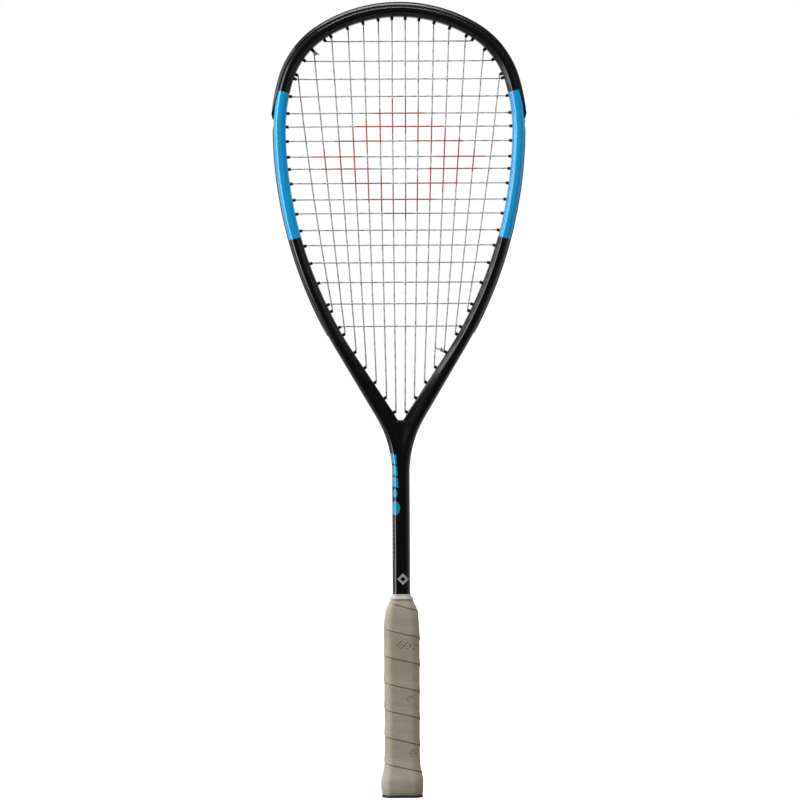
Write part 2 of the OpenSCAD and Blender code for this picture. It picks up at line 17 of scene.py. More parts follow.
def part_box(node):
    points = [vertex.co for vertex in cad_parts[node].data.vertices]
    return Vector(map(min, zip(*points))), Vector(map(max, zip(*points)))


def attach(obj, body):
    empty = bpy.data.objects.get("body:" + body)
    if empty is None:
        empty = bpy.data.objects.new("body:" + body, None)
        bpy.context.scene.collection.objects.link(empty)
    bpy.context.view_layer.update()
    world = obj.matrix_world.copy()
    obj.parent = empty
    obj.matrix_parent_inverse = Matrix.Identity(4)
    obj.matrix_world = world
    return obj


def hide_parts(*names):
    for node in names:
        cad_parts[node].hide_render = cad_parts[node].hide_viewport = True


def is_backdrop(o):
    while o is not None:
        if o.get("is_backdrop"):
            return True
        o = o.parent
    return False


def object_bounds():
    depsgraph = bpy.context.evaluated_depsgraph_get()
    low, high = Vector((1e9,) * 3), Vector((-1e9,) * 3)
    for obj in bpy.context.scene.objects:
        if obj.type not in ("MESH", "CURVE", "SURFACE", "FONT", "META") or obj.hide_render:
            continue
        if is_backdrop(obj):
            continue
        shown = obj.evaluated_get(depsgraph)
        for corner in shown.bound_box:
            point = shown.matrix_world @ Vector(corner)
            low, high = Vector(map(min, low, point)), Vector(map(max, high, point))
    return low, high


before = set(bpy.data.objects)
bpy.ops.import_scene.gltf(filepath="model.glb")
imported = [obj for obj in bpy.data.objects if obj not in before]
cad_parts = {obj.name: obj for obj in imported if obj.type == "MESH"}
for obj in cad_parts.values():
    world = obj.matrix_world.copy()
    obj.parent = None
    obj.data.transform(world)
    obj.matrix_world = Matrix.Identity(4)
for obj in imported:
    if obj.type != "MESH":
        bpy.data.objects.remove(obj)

log = logging.getLogger("racket")

MM = 0.001
ROOT = "root"
LAY = "Lay"
UP = Vector((0, 0, 1))
FRONT = Vector((0, -1, 0))
EDGE_SHARES = (0.0, 0.03, 0.12, 0.3, 0.6, 1.0)


class Side(Enum):
    """The two sides of the racket as seen from its front."""

    LEFT = -1
    RIGHT = 1


# ---- Small measures ----------------------------------------------------------


def heading(angle: float) -> Vector:
    """Unit vector in the plane of the strings, at an angle clockwise from the top of the head."""
    return Vector((math.sin(math.radians(angle)), 0, math.cos(math.radians(angle))))


def ease(low: float, high: float, value: float) -> float:
    """Rise smoothly from 0 at low to 1 at high."""
    share = min(1.0, max(0.0, (value - low) / (high - low)))
    return share * share * (3 - 2 * share)


def between(first: float, last: float, share: float) -> float:
    """Number at a share of the way from first to last."""
    return first + (last - first) * share


def soft_min(a: float, b: float, reach: float) -> float:
    """Smaller of two numbers, with the corner between them rounded over a reach."""
    overlap = max(reach - abs(a - b), 0.0) / reach
    return min(a, b) - overlap * overlap * reach / 4


def across(point: Vector, side: Side) -> Vector:
    """A point of the right half, or its mirror image on the left."""
    return Vector((point.x * side.value, point.y, point.z))


def solve(measure: Callable[[float], float], target: float, low: float, high: float) -> float:
    """Find where a falling or rising measure meets a target.

    Args:
        measure: Function of one number that only rises or only falls.
        target: Value to meet.
        low: Lower end of the search.
        high: Upper end of the search.

    Returns:
        The number between low and high at which measure gives target.
    """
    rising = measure(high) > measure(low)
    for _ in range(48):
        middle = (low + high) / 2
        if (measure(middle) < target) == rising:
            low = middle
        else:
            high = middle
    return (low + high) / 2


def cut_corners(points: Sequence[Vector], reach: float, steps: int = 4, closed: bool = False) -> list[Vector]:
    """Round the corners of a path.

    Args:
        points: Corners of the path.
        reach: How far from each corner its rounding begins, at most.
        steps: Pieces in each rounding.
        closed: Whether the last corner is joined to the first.

    Returns:
        The path with a short curve at each corner.
    """
    count = len(points)
    made: list[Vector] = []
    for i, corner in enumerate(points):
        if not closed and i in (0, count - 1):
            made.append(corner.copy())
            continue
        before, after = points[i - 1] - corner, points[(i + 1) % count] - corner
        start = corner + before * min(reach / max(before.length, 1e-9), 0.48)
        finish = corner + after * min(reach / max(after.length, 1e-9), 0.48)
        for k in range(steps + 1):
            t = k / steps
            made.append(start * (1 - t) ** 2 + corner * 2 * t * (1 - t) + finish * t * t)
    return made


# ---- Meshes ------------------------------------------------------------------


@dataclass
class Skin:
    """Points and faces of a piece while it is being made."""

    points: list[Vector] = field(default_factory=list)
    faces: list[tuple[int, ...]] = field(default_factory=list)
    lay: list[list[tuple[float, float]]] = field(default_factory=list)
    finishes: list[int] = field(default_factory=list)

    def rows(
        self,
        rows: Sequence[Sequence[Vector]],
        around: bool = False,
        caps: bool = False,
        along: Sequence[float] | None = None,
        finish: Callable[[int], int] | None = None,
    ) -> None:
        """Add a sheet of four-sided faces through rows of points.

        Args:
            rows: Rows with the same number of points each.
            around: Whether each row closes on itself.
            caps: Whether the first and last rows are filled.
            along: Distance of each row along the piece.
            finish: Which finish the faces that follow a row get.
        """
        base, wide = len(self.points), len(rows[0])
        for row in rows:
            self.points.extend(row)
        along = along or list(range(len(rows)))
        spans = wide if around else wide - 1
        for i in range(len(rows) - 1):
            kind = finish(i) if finish else 0
            for k in range(spans):
                a, b = base + i * wide + k, base + i * wide + (k + 1) % wide
                self.faces.append((a, b, b + wide, a + wide))
                near, far = k / spans, (k + 1) / spans
                here, onward = along[i], along[i + 1]
                self.lay.append([(here, near), (here, far), (onward, far), (onward, near)])
                self.finishes.append(kind)
        if caps:
            for i in (0, len(rows) - 1):
                self.faces.append(tuple(base + i * wide + k for k in range(wide)))
                self.lay.append([(along[i], k / spans) for k in range(wide)])
                self.finishes.append(finish(min(i, len(rows) - 2)) if finish else 0)

    def cap(self, ring: Sequence[Vector]) -> None:
        """Close an end with one face."""
        start = len(self.points)
        self.points.extend(ring)
        self.faces.append(tuple(range(start, start + len(ring))))
        self.lay.append([(p.x, p.z) for p in ring])
        self.finishes.append(0)

    def build(self, name: str, finishes: Sequence[bpy.types.Material], sharp: float) -> bpy.types.Object:
        """Turn the skin into an object.

        Args:
            name: Name of the piece.
            finishes: Materials, in the order that the faces count them.
            sharp: Angle between faces above which an edge stays sharp.

        Returns:
            The new object, in the scene.
        """
        mesh = bpy.data.meshes.new(name)
        mesh.from_pydata([tuple(p) for p in self.points], [], self.faces)
        layer = mesh.uv_layers.new(name=LAY)
        layer.data.foreach_set("uv", [c for face in self.lay for corner in face for c in corner])
        mesh.polygons.foreach_set("material_index", self.finishes)
        shell = bmesh.new()
        shell.from_mesh(mesh)
        bmesh.ops.remove_doubles(shell, verts=shell.verts, dist=2e-6)
        bmesh.ops.recalc_face_normals(shell, faces=shell.faces)
        shell.to_mesh(mesh)
        shell.free()
        mesh.polygons.foreach_set("use_smooth", [True] * len(mesh.polygons))
        mesh.set_sharp_from_angle(angle=math.radians(sharp))
        for material in finishes:
            mesh.materials.append(material)
        piece = bpy.data.objects.new(name, mesh)
        bpy.context.scene.collection.objects.link(piece)
        return piece


def place(piece: bpy.types.Object, slot: str, *nodes: str) -> None:
    """Let a finished piece ride on the racket and stand for its plain nodes.

    Args:
        piece: The finished piece.
        slot: The record's material slot for the piece; not used.
        *nodes: Nodes that it stands for.
    """
    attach(piece, ROOT)
    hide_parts(*nodes)
    log.info("%s: %d faces, stands for %s", piece.name, len(piece.data.polygons), ", ".join(nodes))


def tube_rows(path: Sequence[Vector], radius: float, sides: int) -> tuple[list[list[Vector]], list[float]]:
    """Rings of a round tube along a path.

    Args:
        path: Points of the centre line.
        radius: Radius of the tube.
        sides: Points in each ring.

    Returns:
        The rings, and the distance of each along the path.
    """
    rings, along, reach = [], [], 0.0
    side = (path[1] - path[0]).orthogonal().normalized()
    for i, point in enumerate(path):
        before = path[max(i - 1, 0)]
        after = path[min(i + 1, len(path) - 1)]
        ahead = (after - before).normalized()
        side = (side - ahead * side.dot(ahead)).normalized()
        up = ahead.cross(side)
        turns = (2 * math.pi * k / sides for k in range(sides))
        rings.append([point + radius * (math.cos(t) * side + math.sin(t) * up) for t in turns])
        reach += (point - path[i - 1]).length if i else 0.0
        along.append(reach)
    return rings, along


# ---- The line of the frame ---------------------------------------------------


@dataclass(frozen=True)
class Bend:
    """One round stretch of the outer face, from one heading to another."""

    centre: Vector
    radius: float
    start: float
    end: float

    def length(self) -> float:
        """Length along the outer face."""
        return self.radius * math.radians(self.end - self.start)

    def at(self, along: float) -> tuple[Vector, Vector]:
        """Point and outward direction at a distance from the start of the bend."""
        out = heading(self.start + math.degrees(along / self.radius))
        return self.centre + self.radius * out, out


@dataclass(frozen=True)
class Outline:
    """Outer face of the right half, from the top of the crown down to the foot of the shaft."""

    top: float
    crown_radius: float = 0.130
    crown_angle: float = 31.0
    shoulder_radius: float = 0.079
    shoulder_angle: float = 74.0
    upper_side_radius: float = 0.160
    side_split_angle: float = 91.0
    lower_side_radius: float = 0.378
    leg_angle: float = 30.6
    throat_radius: float = 0.097
    shaft_half: float = 0.00765
    shaft_foot: float = 0.006

    def bends(self) -> list[Bend]:
        """The four round stretches of the hoop, from the crown down."""
        centre = Vector((0, 0, self.top - self.crown_radius))
        marks = (0.0, self.crown_angle, self.shoulder_angle, self.side_split_angle, 90 + self.leg_angle)
        radii = (self.crown_radius, self.shoulder_radius, self.upper_side_radius, self.lower_side_radius)
        made: list[Bend] = []
        for i, radius in enumerate(radii):
            if made:
                centre = centre + (made[-1].radius - radius) * heading(marks[i])
            made.append(Bend(centre, radius, marks[i], marks[i + 1]))
        return made

    def hoop_length(self) -> float:
        """Length of the round stretches of the hoop."""
        return sum(bend.length() for bend in self.bends())

    def leg_length(self) -> float:
        """Length of the straight leg, between the hoop and the throat."""
        last = self.bends()[-1]
        top = last.at(last.length())[0]
        turn = math.radians(self.leg_angle)
        return (top.x - self.shaft_half) / math.sin(turn) - self.throat_radius * math.tan(turn / 2)

    def throat_centre(self) -> Vector:
        """Centre of the round stretch between the leg and the shaft."""
        point, out = self.at(self.hoop_length() + self.leg_length())
        return point + self.throat_radius * out

    def throat_length(self) -> float:
        """Length of the round stretch between the leg and the shaft."""
        return self.throat_radius * math.radians(self.leg_angle)

    def length(self) -> float:
        """Length of the whole outer face, down to the foot of the shaft."""
        shaft = self.throat_centre().z - self.shaft_foot
        return self.hoop_length() + self.leg_length() + self.throat_length() + shaft

    def at(self, along: float) -> tuple[Vector, Vector]:
        """Find a place on the outer face.

        Args:
            along: Distance from the top of the crown.

        Returns:
            The point, and the direction that faces out of the head there.
        """
        for bend in self.bends():
            if along <= bend.length():
                return bend.at(along)
            along -= bend.length()
        last = self.bends()[-1]
        corner, out = last.at(last.length())
        down = Vector((out.z, 0, -out.x))
        if along <= self.leg_length():
            return corner + down * along, out
        along -= self.leg_length()
        centre = corner + down * self.leg_length() + self.throat_radius * out
        if along <= self.throat_length():
            turned = heading(90 + self.leg_angle - math.degrees(along / self.throat_radius))
            return centre - self.throat_radius * turned, turned
        along -= self.throat_length()
        return Vector((self.shaft_half, 0, centre.z - along)), Vector((1, 0, 0))

    def where_height(self, height: float) -> float:
        """Distance from the top of the crown at which the outer face reaches a height."""
        return solve(lambda along: self.at(along)[0].z, height, 0.0, self.length())


@dataclass(frozen=True)
class Grommet:
    """Where a string passes through the frame."""

    rim: Vector
    out: Vector
    span: float
    along: float
    reach: float = 0.0026

    def inside(self, depth: float) -> Vector:
        """Point on the axis, at a depth below the outer face."""
        return self.rim - self.out * depth

    def tip(self) -> Vector:
        """End of the barrel, inside the head."""
        return self.inside(self.span + self.reach)


@dataclass(frozen=True)
class Pattern:
    """Places of the strings."""

    cross_heights: tuple[float, ...] = tuple(h * MM for h in (
        406, 425.5, 444, 461, 476, 489, 503.5, 515.5, 529.5,
        542, 552.5, 566, 578.5, 590, 604.5, 619.5, 635, 652,
    ))
    main_tops: tuple[float, ...] = tuple(x * MM for x in (5.8, 17.8, 31, 44.5, 59, 75, 89.3))
    main_feet: tuple[float, ...] = tuple(x * MM for x in (6.2, 14.2, 23, 31.5, 40.2, 49.8, 60.4))
    main_bows: tuple[float, ...] = tuple(x * MM for x in (0.5, 0.6, 0.7, 0.7, 0.7, 0.8, 2))


@dataclass(frozen=True)
class Hoop:
    """The frame as the other pieces see it: its line, its width and its grommets."""

    line: Outline
    pattern: Pattern = field(default_factory=Pattern)
    hoop_width: float = 0.0106
    leg_width: float = 0.0112
    gusset_half: float = 0.042
    gusset_height: float = 0.3857
    gusset_angle: float = 33.4
    saddle_height: float = 0.3250
    saddle_half: float = 0.0035
    widest_height: float = 0.585
    lowest_height: float = 0.3195

    def gusset_x(self, height: float) -> float:
        """Half the width of the opening at a height, between the gussets."""
        return self.gusset_half - (self.gusset_height - height) * math.tan(math.radians(self.gusset_angle))

    def width(self, along: float) -> float:
        """Thickness of the frame in the plane of the strings, square to its outer face."""
        rim, out = self.line.at(along)
        plain = between(self.leg_width, self.hoop_width, ease(0.41, 0.50, rim.z))
        if rim.z > 0.46:
            return plain
        turn = math.radians(self.gusset_angle)
        slope = Vector((math.cos(turn), 0, -math.sin(turn)))
        corner = Vector((self.gusset_half, 0, self.gusset_height))
        gusset = (rim - corner).dot(slope) / out.dot(slope)
        return -soft_min(-plain, -gusset, 0.0006)

    def grommet(self, along: float) -> Grommet:
        """The grommet at a distance from the top of the crown."""
        rim, out = self.line.at(along)
        return Grommet(rim, out, self.width(along), along)

    def inner(self, along: float) -> Vector:
        """Point of the inner face at a distance from the top of the crown."""
        return self.grommet(along).inside(self.width(along))

    def crown_grommets(self) -> list[Grommet]:
        """Grommets of the right main strings at the crown, from the centre out."""
        ends = 0.0, self.line.where_height(self.widest_height)
        return [self.grommet(solve(lambda a: self.inner(a).x, x, *ends)) for x in self.pattern.main_tops]

    def foot_grommets(self) -> list[Grommet]:
        """Grommets of the right main strings at the legs, from the centre out."""
        ends = self.line.where_height(self.widest_height), self.line.where_height(self.lowest_height)
        return [self.grommet(solve(lambda a: self.inner(a).x, x, *ends)) for x in self.pattern.main_feet]

    def side_grommets(self) -> list[Grommet]:
        """Grommets of the cross strings on the right, from the lowest up."""
        lowest = self.line.where_height(self.lowest_height)

        def at_height(height: float) -> Grommet:
            """The grommet whose barrel ends at a height."""
            return self.grommet(solve(lambda a: self.grommet(a).tip().z, height, 0.0, lowest))

        return [at_height(height) for height in self.pattern.cross_heights]


# ---- The moulded frame -------------------------------------------------------


@dataclass(frozen=True)
class Station:
    """One cut through the right half of the frame, along a line square to its outer face."""

    rim: Vector
    out: Vector
    width: float
    channel: float
    closed: bool


@dataclass
class MouldedFrame:
    """The hoop, throat and shaft, moulded in one piece with crests along the front and back."""

    hoop: Hoop
    depth: float = 0.019
    face_half: float = 0.0042
    crest_start: float = 0.0040
    crest_end: float = 0.0070
    crest_round: float = 0.0009
    shoulder_power: float = 1.35
    wall_half: float = 0.0046
    gusset_wall_half: float = 0.0066
    wall_bulge: float = 0.0003
    edge_round: float = 0.0014
    edge_drop: float = 0.0010
    channel_half: float = 0.0032
    channel_depth: float = 0.0024
    valley_foot: float = 0.290
    blue_top: float = 0.6095
    blue_foot: float = 0.4803
    corner_reach: float = 0.0016
    channel_fade: tuple[float, float] = (0.012, 0.003)
    step: float = 0.0032
    shaft_rows: int = 60

    def stations(self) -> list[Station]:
        """Cuts from the top of the crown down to the foot of the shaft."""
        line, hoop = self.hoop.line, self.hoop
        ends = line.where_height(hoop.widest_height), line.where_height(hoop.lowest_height)
        lowest = solve(lambda a: hoop.inner(a).x, hoop.saddle_half + self.corner_reach, *ends)
        marks = [0.0, line.where_height(self.blue_top), line.where_height(self.blue_foot), lowest]
        past_leg, fade_length = self.channel_fade
        channel_end = line.hoop_length() + line.leg_length() + past_leg
        places: list[float] = []
        for first, last in zip(marks, marks[1:]):
            count = max(2, round((last - first) / self.step))
            places.extend(between(first, last, i / count) for i in range(count))
        places.append(lowest)
        made = []
        for along in places:
            rim, out = line.at(along)
            made.append(Station(rim, out, hoop.width(along), self.channel_depth, True))
        centre = line.throat_centre()

        def through(inner: Vector, closed: bool) -> Station:
            """The cut that passes through a point of the inner face and the centre of the throat's bend."""
            toward = inner - centre
            out = -toward.normalized()
            rim = centre - out * line.throat_radius
            fade = 1 - ease(channel_end, channel_end + fade_length, line.where_height(rim.z))
            return Station(rim, out, toward.length - line.throat_radius, self.channel_depth * fade, closed)

        start = made[-1].rim - made[-1].out * made[-1].width
        corner = Vector((hoop.saddle_half - 0.0002, 0, hoop.saddle_height))
        for i in range(1, 7):
            t = i / 6
            finish = Vector((hoop.saddle_half - 0.002, 0, hoop.saddle_height))
            point = start * (1 - t) ** 2 + corner * 2 * t * (1 - t) + finish * t * t
            made.append(through(point, True))
        for x in (0.0010, 0.0005, 0.0):
            made.append(through(Vector((x, 0, hoop.saddle_height)), True))
        drops = [self.edge_round * share for share in EDGE_SHARES]
        while hoop.saddle_height - drops[-1] > centre.z + 0.0015:
            drops.append(drops[-1] + min(0.0016, 0.0004 + drops[-1] * 0.25))
        for drop in drops:
            made.append(through(Vector((0, 0, hoop.saddle_height - drop)), False))
        for i in range(self.shaft_rows + 1):
            height = between(centre.z, line.shaft_foot, i / self.shaft_rows)
            rim = Vector((line.shaft_half, 0, height))
            made.append(Station(rim, Vector((1, 0, 0)), line.shaft_half, 0.0, False))
        return made

    def from_opening(self, point: Vector, inward: float) -> float:
        """Distance of a point from the edge of the string opening.

        Args:
            point: Point in the plane of the strings.
            inward: Its distance from the inner face along its cut.

        Returns:
            The distance to the opening.
        """
        hoop = self.hoop
        beside = (point.x - hoop.gusset_x(point.z)) * math.cos(math.radians(hoop.gusset_angle))
        corner = max(beside, hoop.saddle_height - point.z, 0.0)
        return between(corner, inward, ease(0.345, 0.385, point.z))

    def half_depth(self, station: Station, deep: float) -> float:
        """Half the depth of the frame at a place on a cut.

        Args:
            station: The cut.
            deep: Distance below the outer face.

        Returns:
            Distance of the surface from the plane of the strings.
        """
        crest = self.depth / 2
        share = min(deep / self.crest_start, 1.0)
        swell = 1 - (1 - share) ** self.shoulder_power
        outer = self.face_half + (crest + self.crest_round - self.face_half) * swell
        inward = station.width - deep
        inner_point = station.rim - station.out * station.width
        throat = 1 - ease(0.335, 0.42, inner_point.z)
        wall = between(self.wall_half, self.gusset_wall_half, throat)
        if not station.closed or inner_point.z < self.hoop.saddle_height + 0.002:
            wall = between(crest, self.gusset_wall_half, ease(self.valley_foot, 0.322, inner_point.z))
        inner_width = max(station.width - self.crest_end, 0.0006)
        rise = min(max(inward, 0.0) / inner_width, 1.3)
        power = between(1.0, 1.55, 1 - ease(0.326, 0.356, inner_point.z))
        inner = wall + (crest - wall) * rise ** power + (0.0006 if rise >= 1 else 0.0)
        height = soft_min(soft_min(outer, crest, self.crest_round), inner, self.crest_round)
        edge = self.from_opening(station.rim - station.out * deep, inward)
        if edge < self.edge_round:
            height -= self.edge_drop * (1 - math.sqrt(1 - (1 - edge / self.edge_round) ** 2))
        return height

    def front_row(self, station: Station) -> list[Vector]:
        """Points of the front surface on a cut, from the inner face to the middle of the outer wall."""
        edge = [self.edge_round * share for share in EDGE_SHARES]
        inner_reach = station.width - self.crest_end - 0.0008
        start = max(inner_reach, 0.0001)
        zone = [min(e, start * e / self.edge_round) for e in edge] if start < self.edge_round else edge
        flat = [between(zone[-1], start, i / 7) for i in range(1, 8)]
        inwards = zone + flat
        deeps = [station.width - inward for inward in inwards]
        first = deeps[-1]
        crest = [between(first, self.crest_start + 0.0008, i / 8) for i in range(1, 9)]
        slope = [between(self.crest_start + 0.0008, 0.0007, i / 9) for i in range(1, 10)]
        made = []
        for deep in deeps + crest + slope:
            made.append(station.rim - station.out * deep + FRONT * self.half_depth(station, deep))
        top = made[-1]
        foot = station.rim + FRONT * (self.face_half - 0.0007)
        corner = station.rim + FRONT * self.face_half
        for t in (0.25, 0.5, 0.75):
            made.append(top * (1 - t) ** 2 + corner * 2 * t * (1 - t) + foot * t * t)
        lip = station.rim + FRONT * self.channel_half
        made += [foot, lip, lip - station.out * station.channel, station.rim - station.out * station.channel]
        return made

    def mirrored_back(self, row: Sequence[Vector]) -> list[Vector]:
        """The whole cut, given its front half."""
        back = [Vector((p.x, -p.y, p.z)) for p in reversed(row[:-1])]
        return [*row, *back]

    def wall_row(self, row: Sequence[Vector], out: Vector) -> list[Vector]:
        """Points across the inner wall, from the back edge to the front edge."""
        edge = row[0]
        shares = (-1.0, -0.6, 0.0, 0.6, 1.0)
        return [
            Vector((edge.x, edge.y * s, edge.z)) - out * self.wall_bulge * (1 - s * s) for s in shares
        ]

    def build(self, finishes: Sequence[bpy.types.Material]) -> bpy.types.Object:
        """Mould the frame.

        Args:
            finishes: The dark lacquer and the blue lacquer.

        Returns:
            The frame.
        """
        stations = self.stations()
        cuts = [self.mirrored_back(self.front_row(s)) for s in stations]
        walls = [self.wall_row(cut, s.out) for cut, s in zip(cuts, stations) if s.closed]
        along = [0.0]
        for a, b in zip(stations, stations[1:]):
            along.append(along[-1] + (b.rim - a.rim).length)

        def colour(i: int) -> int:
            """Dark or blue lacquer after a cut."""
            middle = (stations[i].rim.z + stations[i + 1].rim.z) / 2
            return 1 if self.blue_foot < middle < self.blue_top else 0

        skin = Skin()
        for side in Side:
            skin.rows([[across(p, side) for p in cut] for cut in cuts], along=along, finish=colour)
            skin.rows([[across(p, side) for p in wall] for wall in walls], along=along, finish=colour)
            skin.cap([across(p, side) for p in cuts[-1]])
        return skin.build("moulded_frame", finishes, sharp=50)


# ---- Bumper guard and grommet strips -----------------------------------------


@dataclass
class GrommetStrip:
    """A moulded strip in the channel of the frame, with a slot for the strings and a barrel at each hole."""

    hoop: Hoop
    channel_depth: float = 0.00235
    rail_half: float = 0.00315
    slot_half: float = 0.0020
    slot_floor: float = 0.0005
    proud: float = 0.0007
    edge_round: float = 0.00025
    barrel_radius: float = 0.0015
    barrel_tip_radius: float = 0.00132
    barrel_lip: float = 0.00016
    bore_radius: float = 0.00082
    barrel_sides: int = 18
    top_height: float = 0.5808
    foot_height: float = 0.3955

    def section(self, along: float) -> list[tuple[float, float]]:
        """Half of the strip's section at a place, from the middle of its underside round to its slot.

        Args:
            along: Distance from the top of the crown; not used here, as the plain strip has the same section
                everywhere.

        Returns:
            Pairs of depth below the outer face and distance from the plane of the strings.
        """
        return [
            (self.channel_depth, 0.0), (self.channel_depth, self.rail_half), (-self.proud, self.rail_half),
            (-self.proud, self.slot_half), (self.slot_floor, self.slot_half), (self.slot_floor, 0.0),
        ]

    def ring(self, along: float, side: Side) -> list[Vector]:
        """Closed ring of the strip's surface at a place."""
        rim, out = self.hoop.line.at(along)
        flat = [Vector((deep, high, 0)) for deep, high in self.section(along)]
        half = cut_corners(flat, self.edge_round, steps=2)
        whole = half + [Vector((p.x, -p.y, 0)) for p in reversed(half[1:-1])]
        return [across(rim - out * p.x + FRONT * p.y, side) for p in whole]

    def barrel(self, skin: Skin, grommet: Grommet, side: Side) -> None:
        """Add one barrel, from inside the frame to its rounded tip in the head."""
        tip = grommet.span + grommet.reach
        profile = [
            (self.channel_depth - 0.0002, self.barrel_radius), (grommet.span - 0.0001, self.barrel_radius),
            (grommet.span + 0.0002, self.barrel_radius), (tip - 0.0005, self.barrel_tip_radius),
            (tip - 0.00042, self.barrel_tip_radius + self.barrel_lip),
            (tip - 0.0001, self.barrel_tip_radius + self.barrel_lip),
            (tip, self.barrel_tip_radius), (tip, self.bore_radius + 0.0001), (tip - 0.0002, self.bore_radius),
            (self.channel_depth - 0.0002, self.bore_radius),
        ]
        level = grommet.out.cross(FRONT)
        rows = []
        for deep, radius in profile:
            turns = (2 * math.pi * k / self.barrel_sides for k in range(self.barrel_sides))
            middle = grommet.inside(deep)
            spokes = [radius * (math.cos(t) * FRONT + math.sin(t) * level) for t in turns]
            rows.append([across(middle + spoke, side) for spoke in spokes])
        skin.rows([*rows, rows[0]], around=True, along=[deep for deep, _ in profile] + [profile[0][0]])

    def places(self, first: float, last: float, step: float = 0.0025) -> list[float]:
        """Evenly spaced places from first to last."""
        count = max(2, round((last - first) / step))
        return [between(first, last, i / count) for i in range(count + 1)]

    def mould(
        self, name: str, side: Side, grommets: Sequence[Grommet], finish: bpy.types.Material
    ) -> bpy.types.Object:
        """Mould the strip of one side with its barrels.

        Args:
            name: Name of the piece.
            side: Side of the head.
            grommets: Its grommets.
            finish: Its material.

        Returns:
            The strip.
        """
        skin = Skin()
        line = self.hoop.line
        places = self.places(line.where_height(self.top_height), line.where_height(self.foot_height))
        skin.rows([self.ring(a, side) for a in places], around=True, caps=True, along=places)
        for grommet in grommets:
            self.barrel(skin, grommet, side)
        return skin.build(name, [finish], sharp=32)


@dataclass
class BumperGuard(GrommetStrip):
    """The strip over the crown and shoulders, whose rails reach over the outer face and onto its slopes."""

    proud: float = 0.0023
    face_half: float = 0.0042
    flange_depth: float = 0.00165
    flange_half: float = 0.0065
    wrap_half: float = 0.00695
    shoulder_half: float = 0.0058
    taper_top: float = 0.6120
    taper_foot: float = 0.5885
    end_height: float = 0.5850
    rib_top: float = 0.6480
    rib_foot: float = 0.5900
    rib_pitch: float = 0.00155
    rib_depth: float = 0.00034
    rib_lean: float = 0.9
    overlap: float = 0.0001

    def section(self, along: float) -> list[tuple[float, float]]:
        """Half of the bumper's section at a place, with its ribs and its tapered ends."""
        height = self.hoop.line.at(along)[0].z
        wrap = ease(self.taper_foot, self.taper_top, height)
        end = ease(self.end_height - 0.0004, self.end_height + 0.0045, height)
        proud = self.proud * between(0.42, 1.0, end)
        begun = ease(self.rib_foot, self.rib_foot + 0.003, height)
        ribbed = begun * (1 - ease(self.rib_top - 0.004, self.rib_top, height))

        def rib(across_half: float) -> float:
            """Depth of the groove between two ribs."""
            turn = (along + self.rib_lean * across_half) / self.rib_pitch
            return ribbed * self.rib_depth * (0.5 - 0.5 * math.cos(2 * math.pi * turn))

        face = between(self.rail_half, self.face_half, wrap)
        shoulder = between(self.rail_half + 0.0002, self.shoulder_half, wrap)
        return [
            (self.channel_depth, 0.0), (self.channel_depth, self.rail_half), (-0.00005, self.rail_half),
            (-0.00005, face),
            (
                between(-self.overlap, self.flange_depth, wrap),
                between(self.rail_half + self.overlap, self.flange_half, wrap),
            ),
            (between(-0.0003, 0.00085, wrap), between(self.rail_half + 0.00015, self.wrap_half, wrap)),
            (-proud / 2 + rib(shoulder), shoulder),
            (-proud * 0.86 + rib(0.0045), between(self.rail_half + 0.0001, 0.0045, wrap)),
            (-proud + rib(self.rail_half), self.rail_half), (-proud + rib(self.slot_half), self.slot_half),
            (self.slot_floor, self.slot_half), (self.slot_floor, 0.0),
        ]

    def build(self, grommets: Sequence[Grommet], finish: bpy.types.Material) -> bpy.types.Object:
        """Mould the bumper with its barrels.

        Args:
            grommets: Grommets of the right half that belong to the bumper.
            finish: Its material.

        Returns:
            The bumper guard.
        """
        skin = Skin()
        line = self.hoop.line
        ribs_start, end = line.where_height(self.rib_top), line.where_height(self.end_height)
        plain = self.places(0.0, ribs_start)
        fine = self.places(ribs_start, end, self.rib_pitch / 6)
        for side in Side:
            rings = [self.ring(a, side) for a in [*plain, *fine[1:]]]
            skin.rows(rings, around=True, along=[*plain, *fine[1:]])
            skin.cap(rings[-1])
            for grommet in grommets:
                self.barrel(skin, grommet, side)
        return skin.build("bumper_guard_moulding", [finish], sharp=32)


@dataclass
class SideStrip(GrommetStrip):
    """The strip along one side of the head, below the bumper."""

    fade: float = 0.016

    def section(self, along: float) -> list[tuple[float, float]]:
        """Section that sinks flush with the outer face at both ends of the strip."""
        line = self.hoop.line
        first, last = line.where_height(self.top_height), line.where_height(self.foot_height)
        sunk = min(ease(first, first + self.fade * 0.4, along), ease(last, last - self.fade, along))
        return [(max(deep, -self.proud * sunk), high) for deep, high in super().section(along)]


@dataclass
class ThroatStrip(GrommetStrip):
    """The strip along one leg, sunk a little below the outer face."""

    proud: float = -0.0002
    slot_floor: float = 0.0014
    top_height: float = 0.3950
    foot_height: float = 0.3208


# ---- Strings -----------------------------------------------------------------


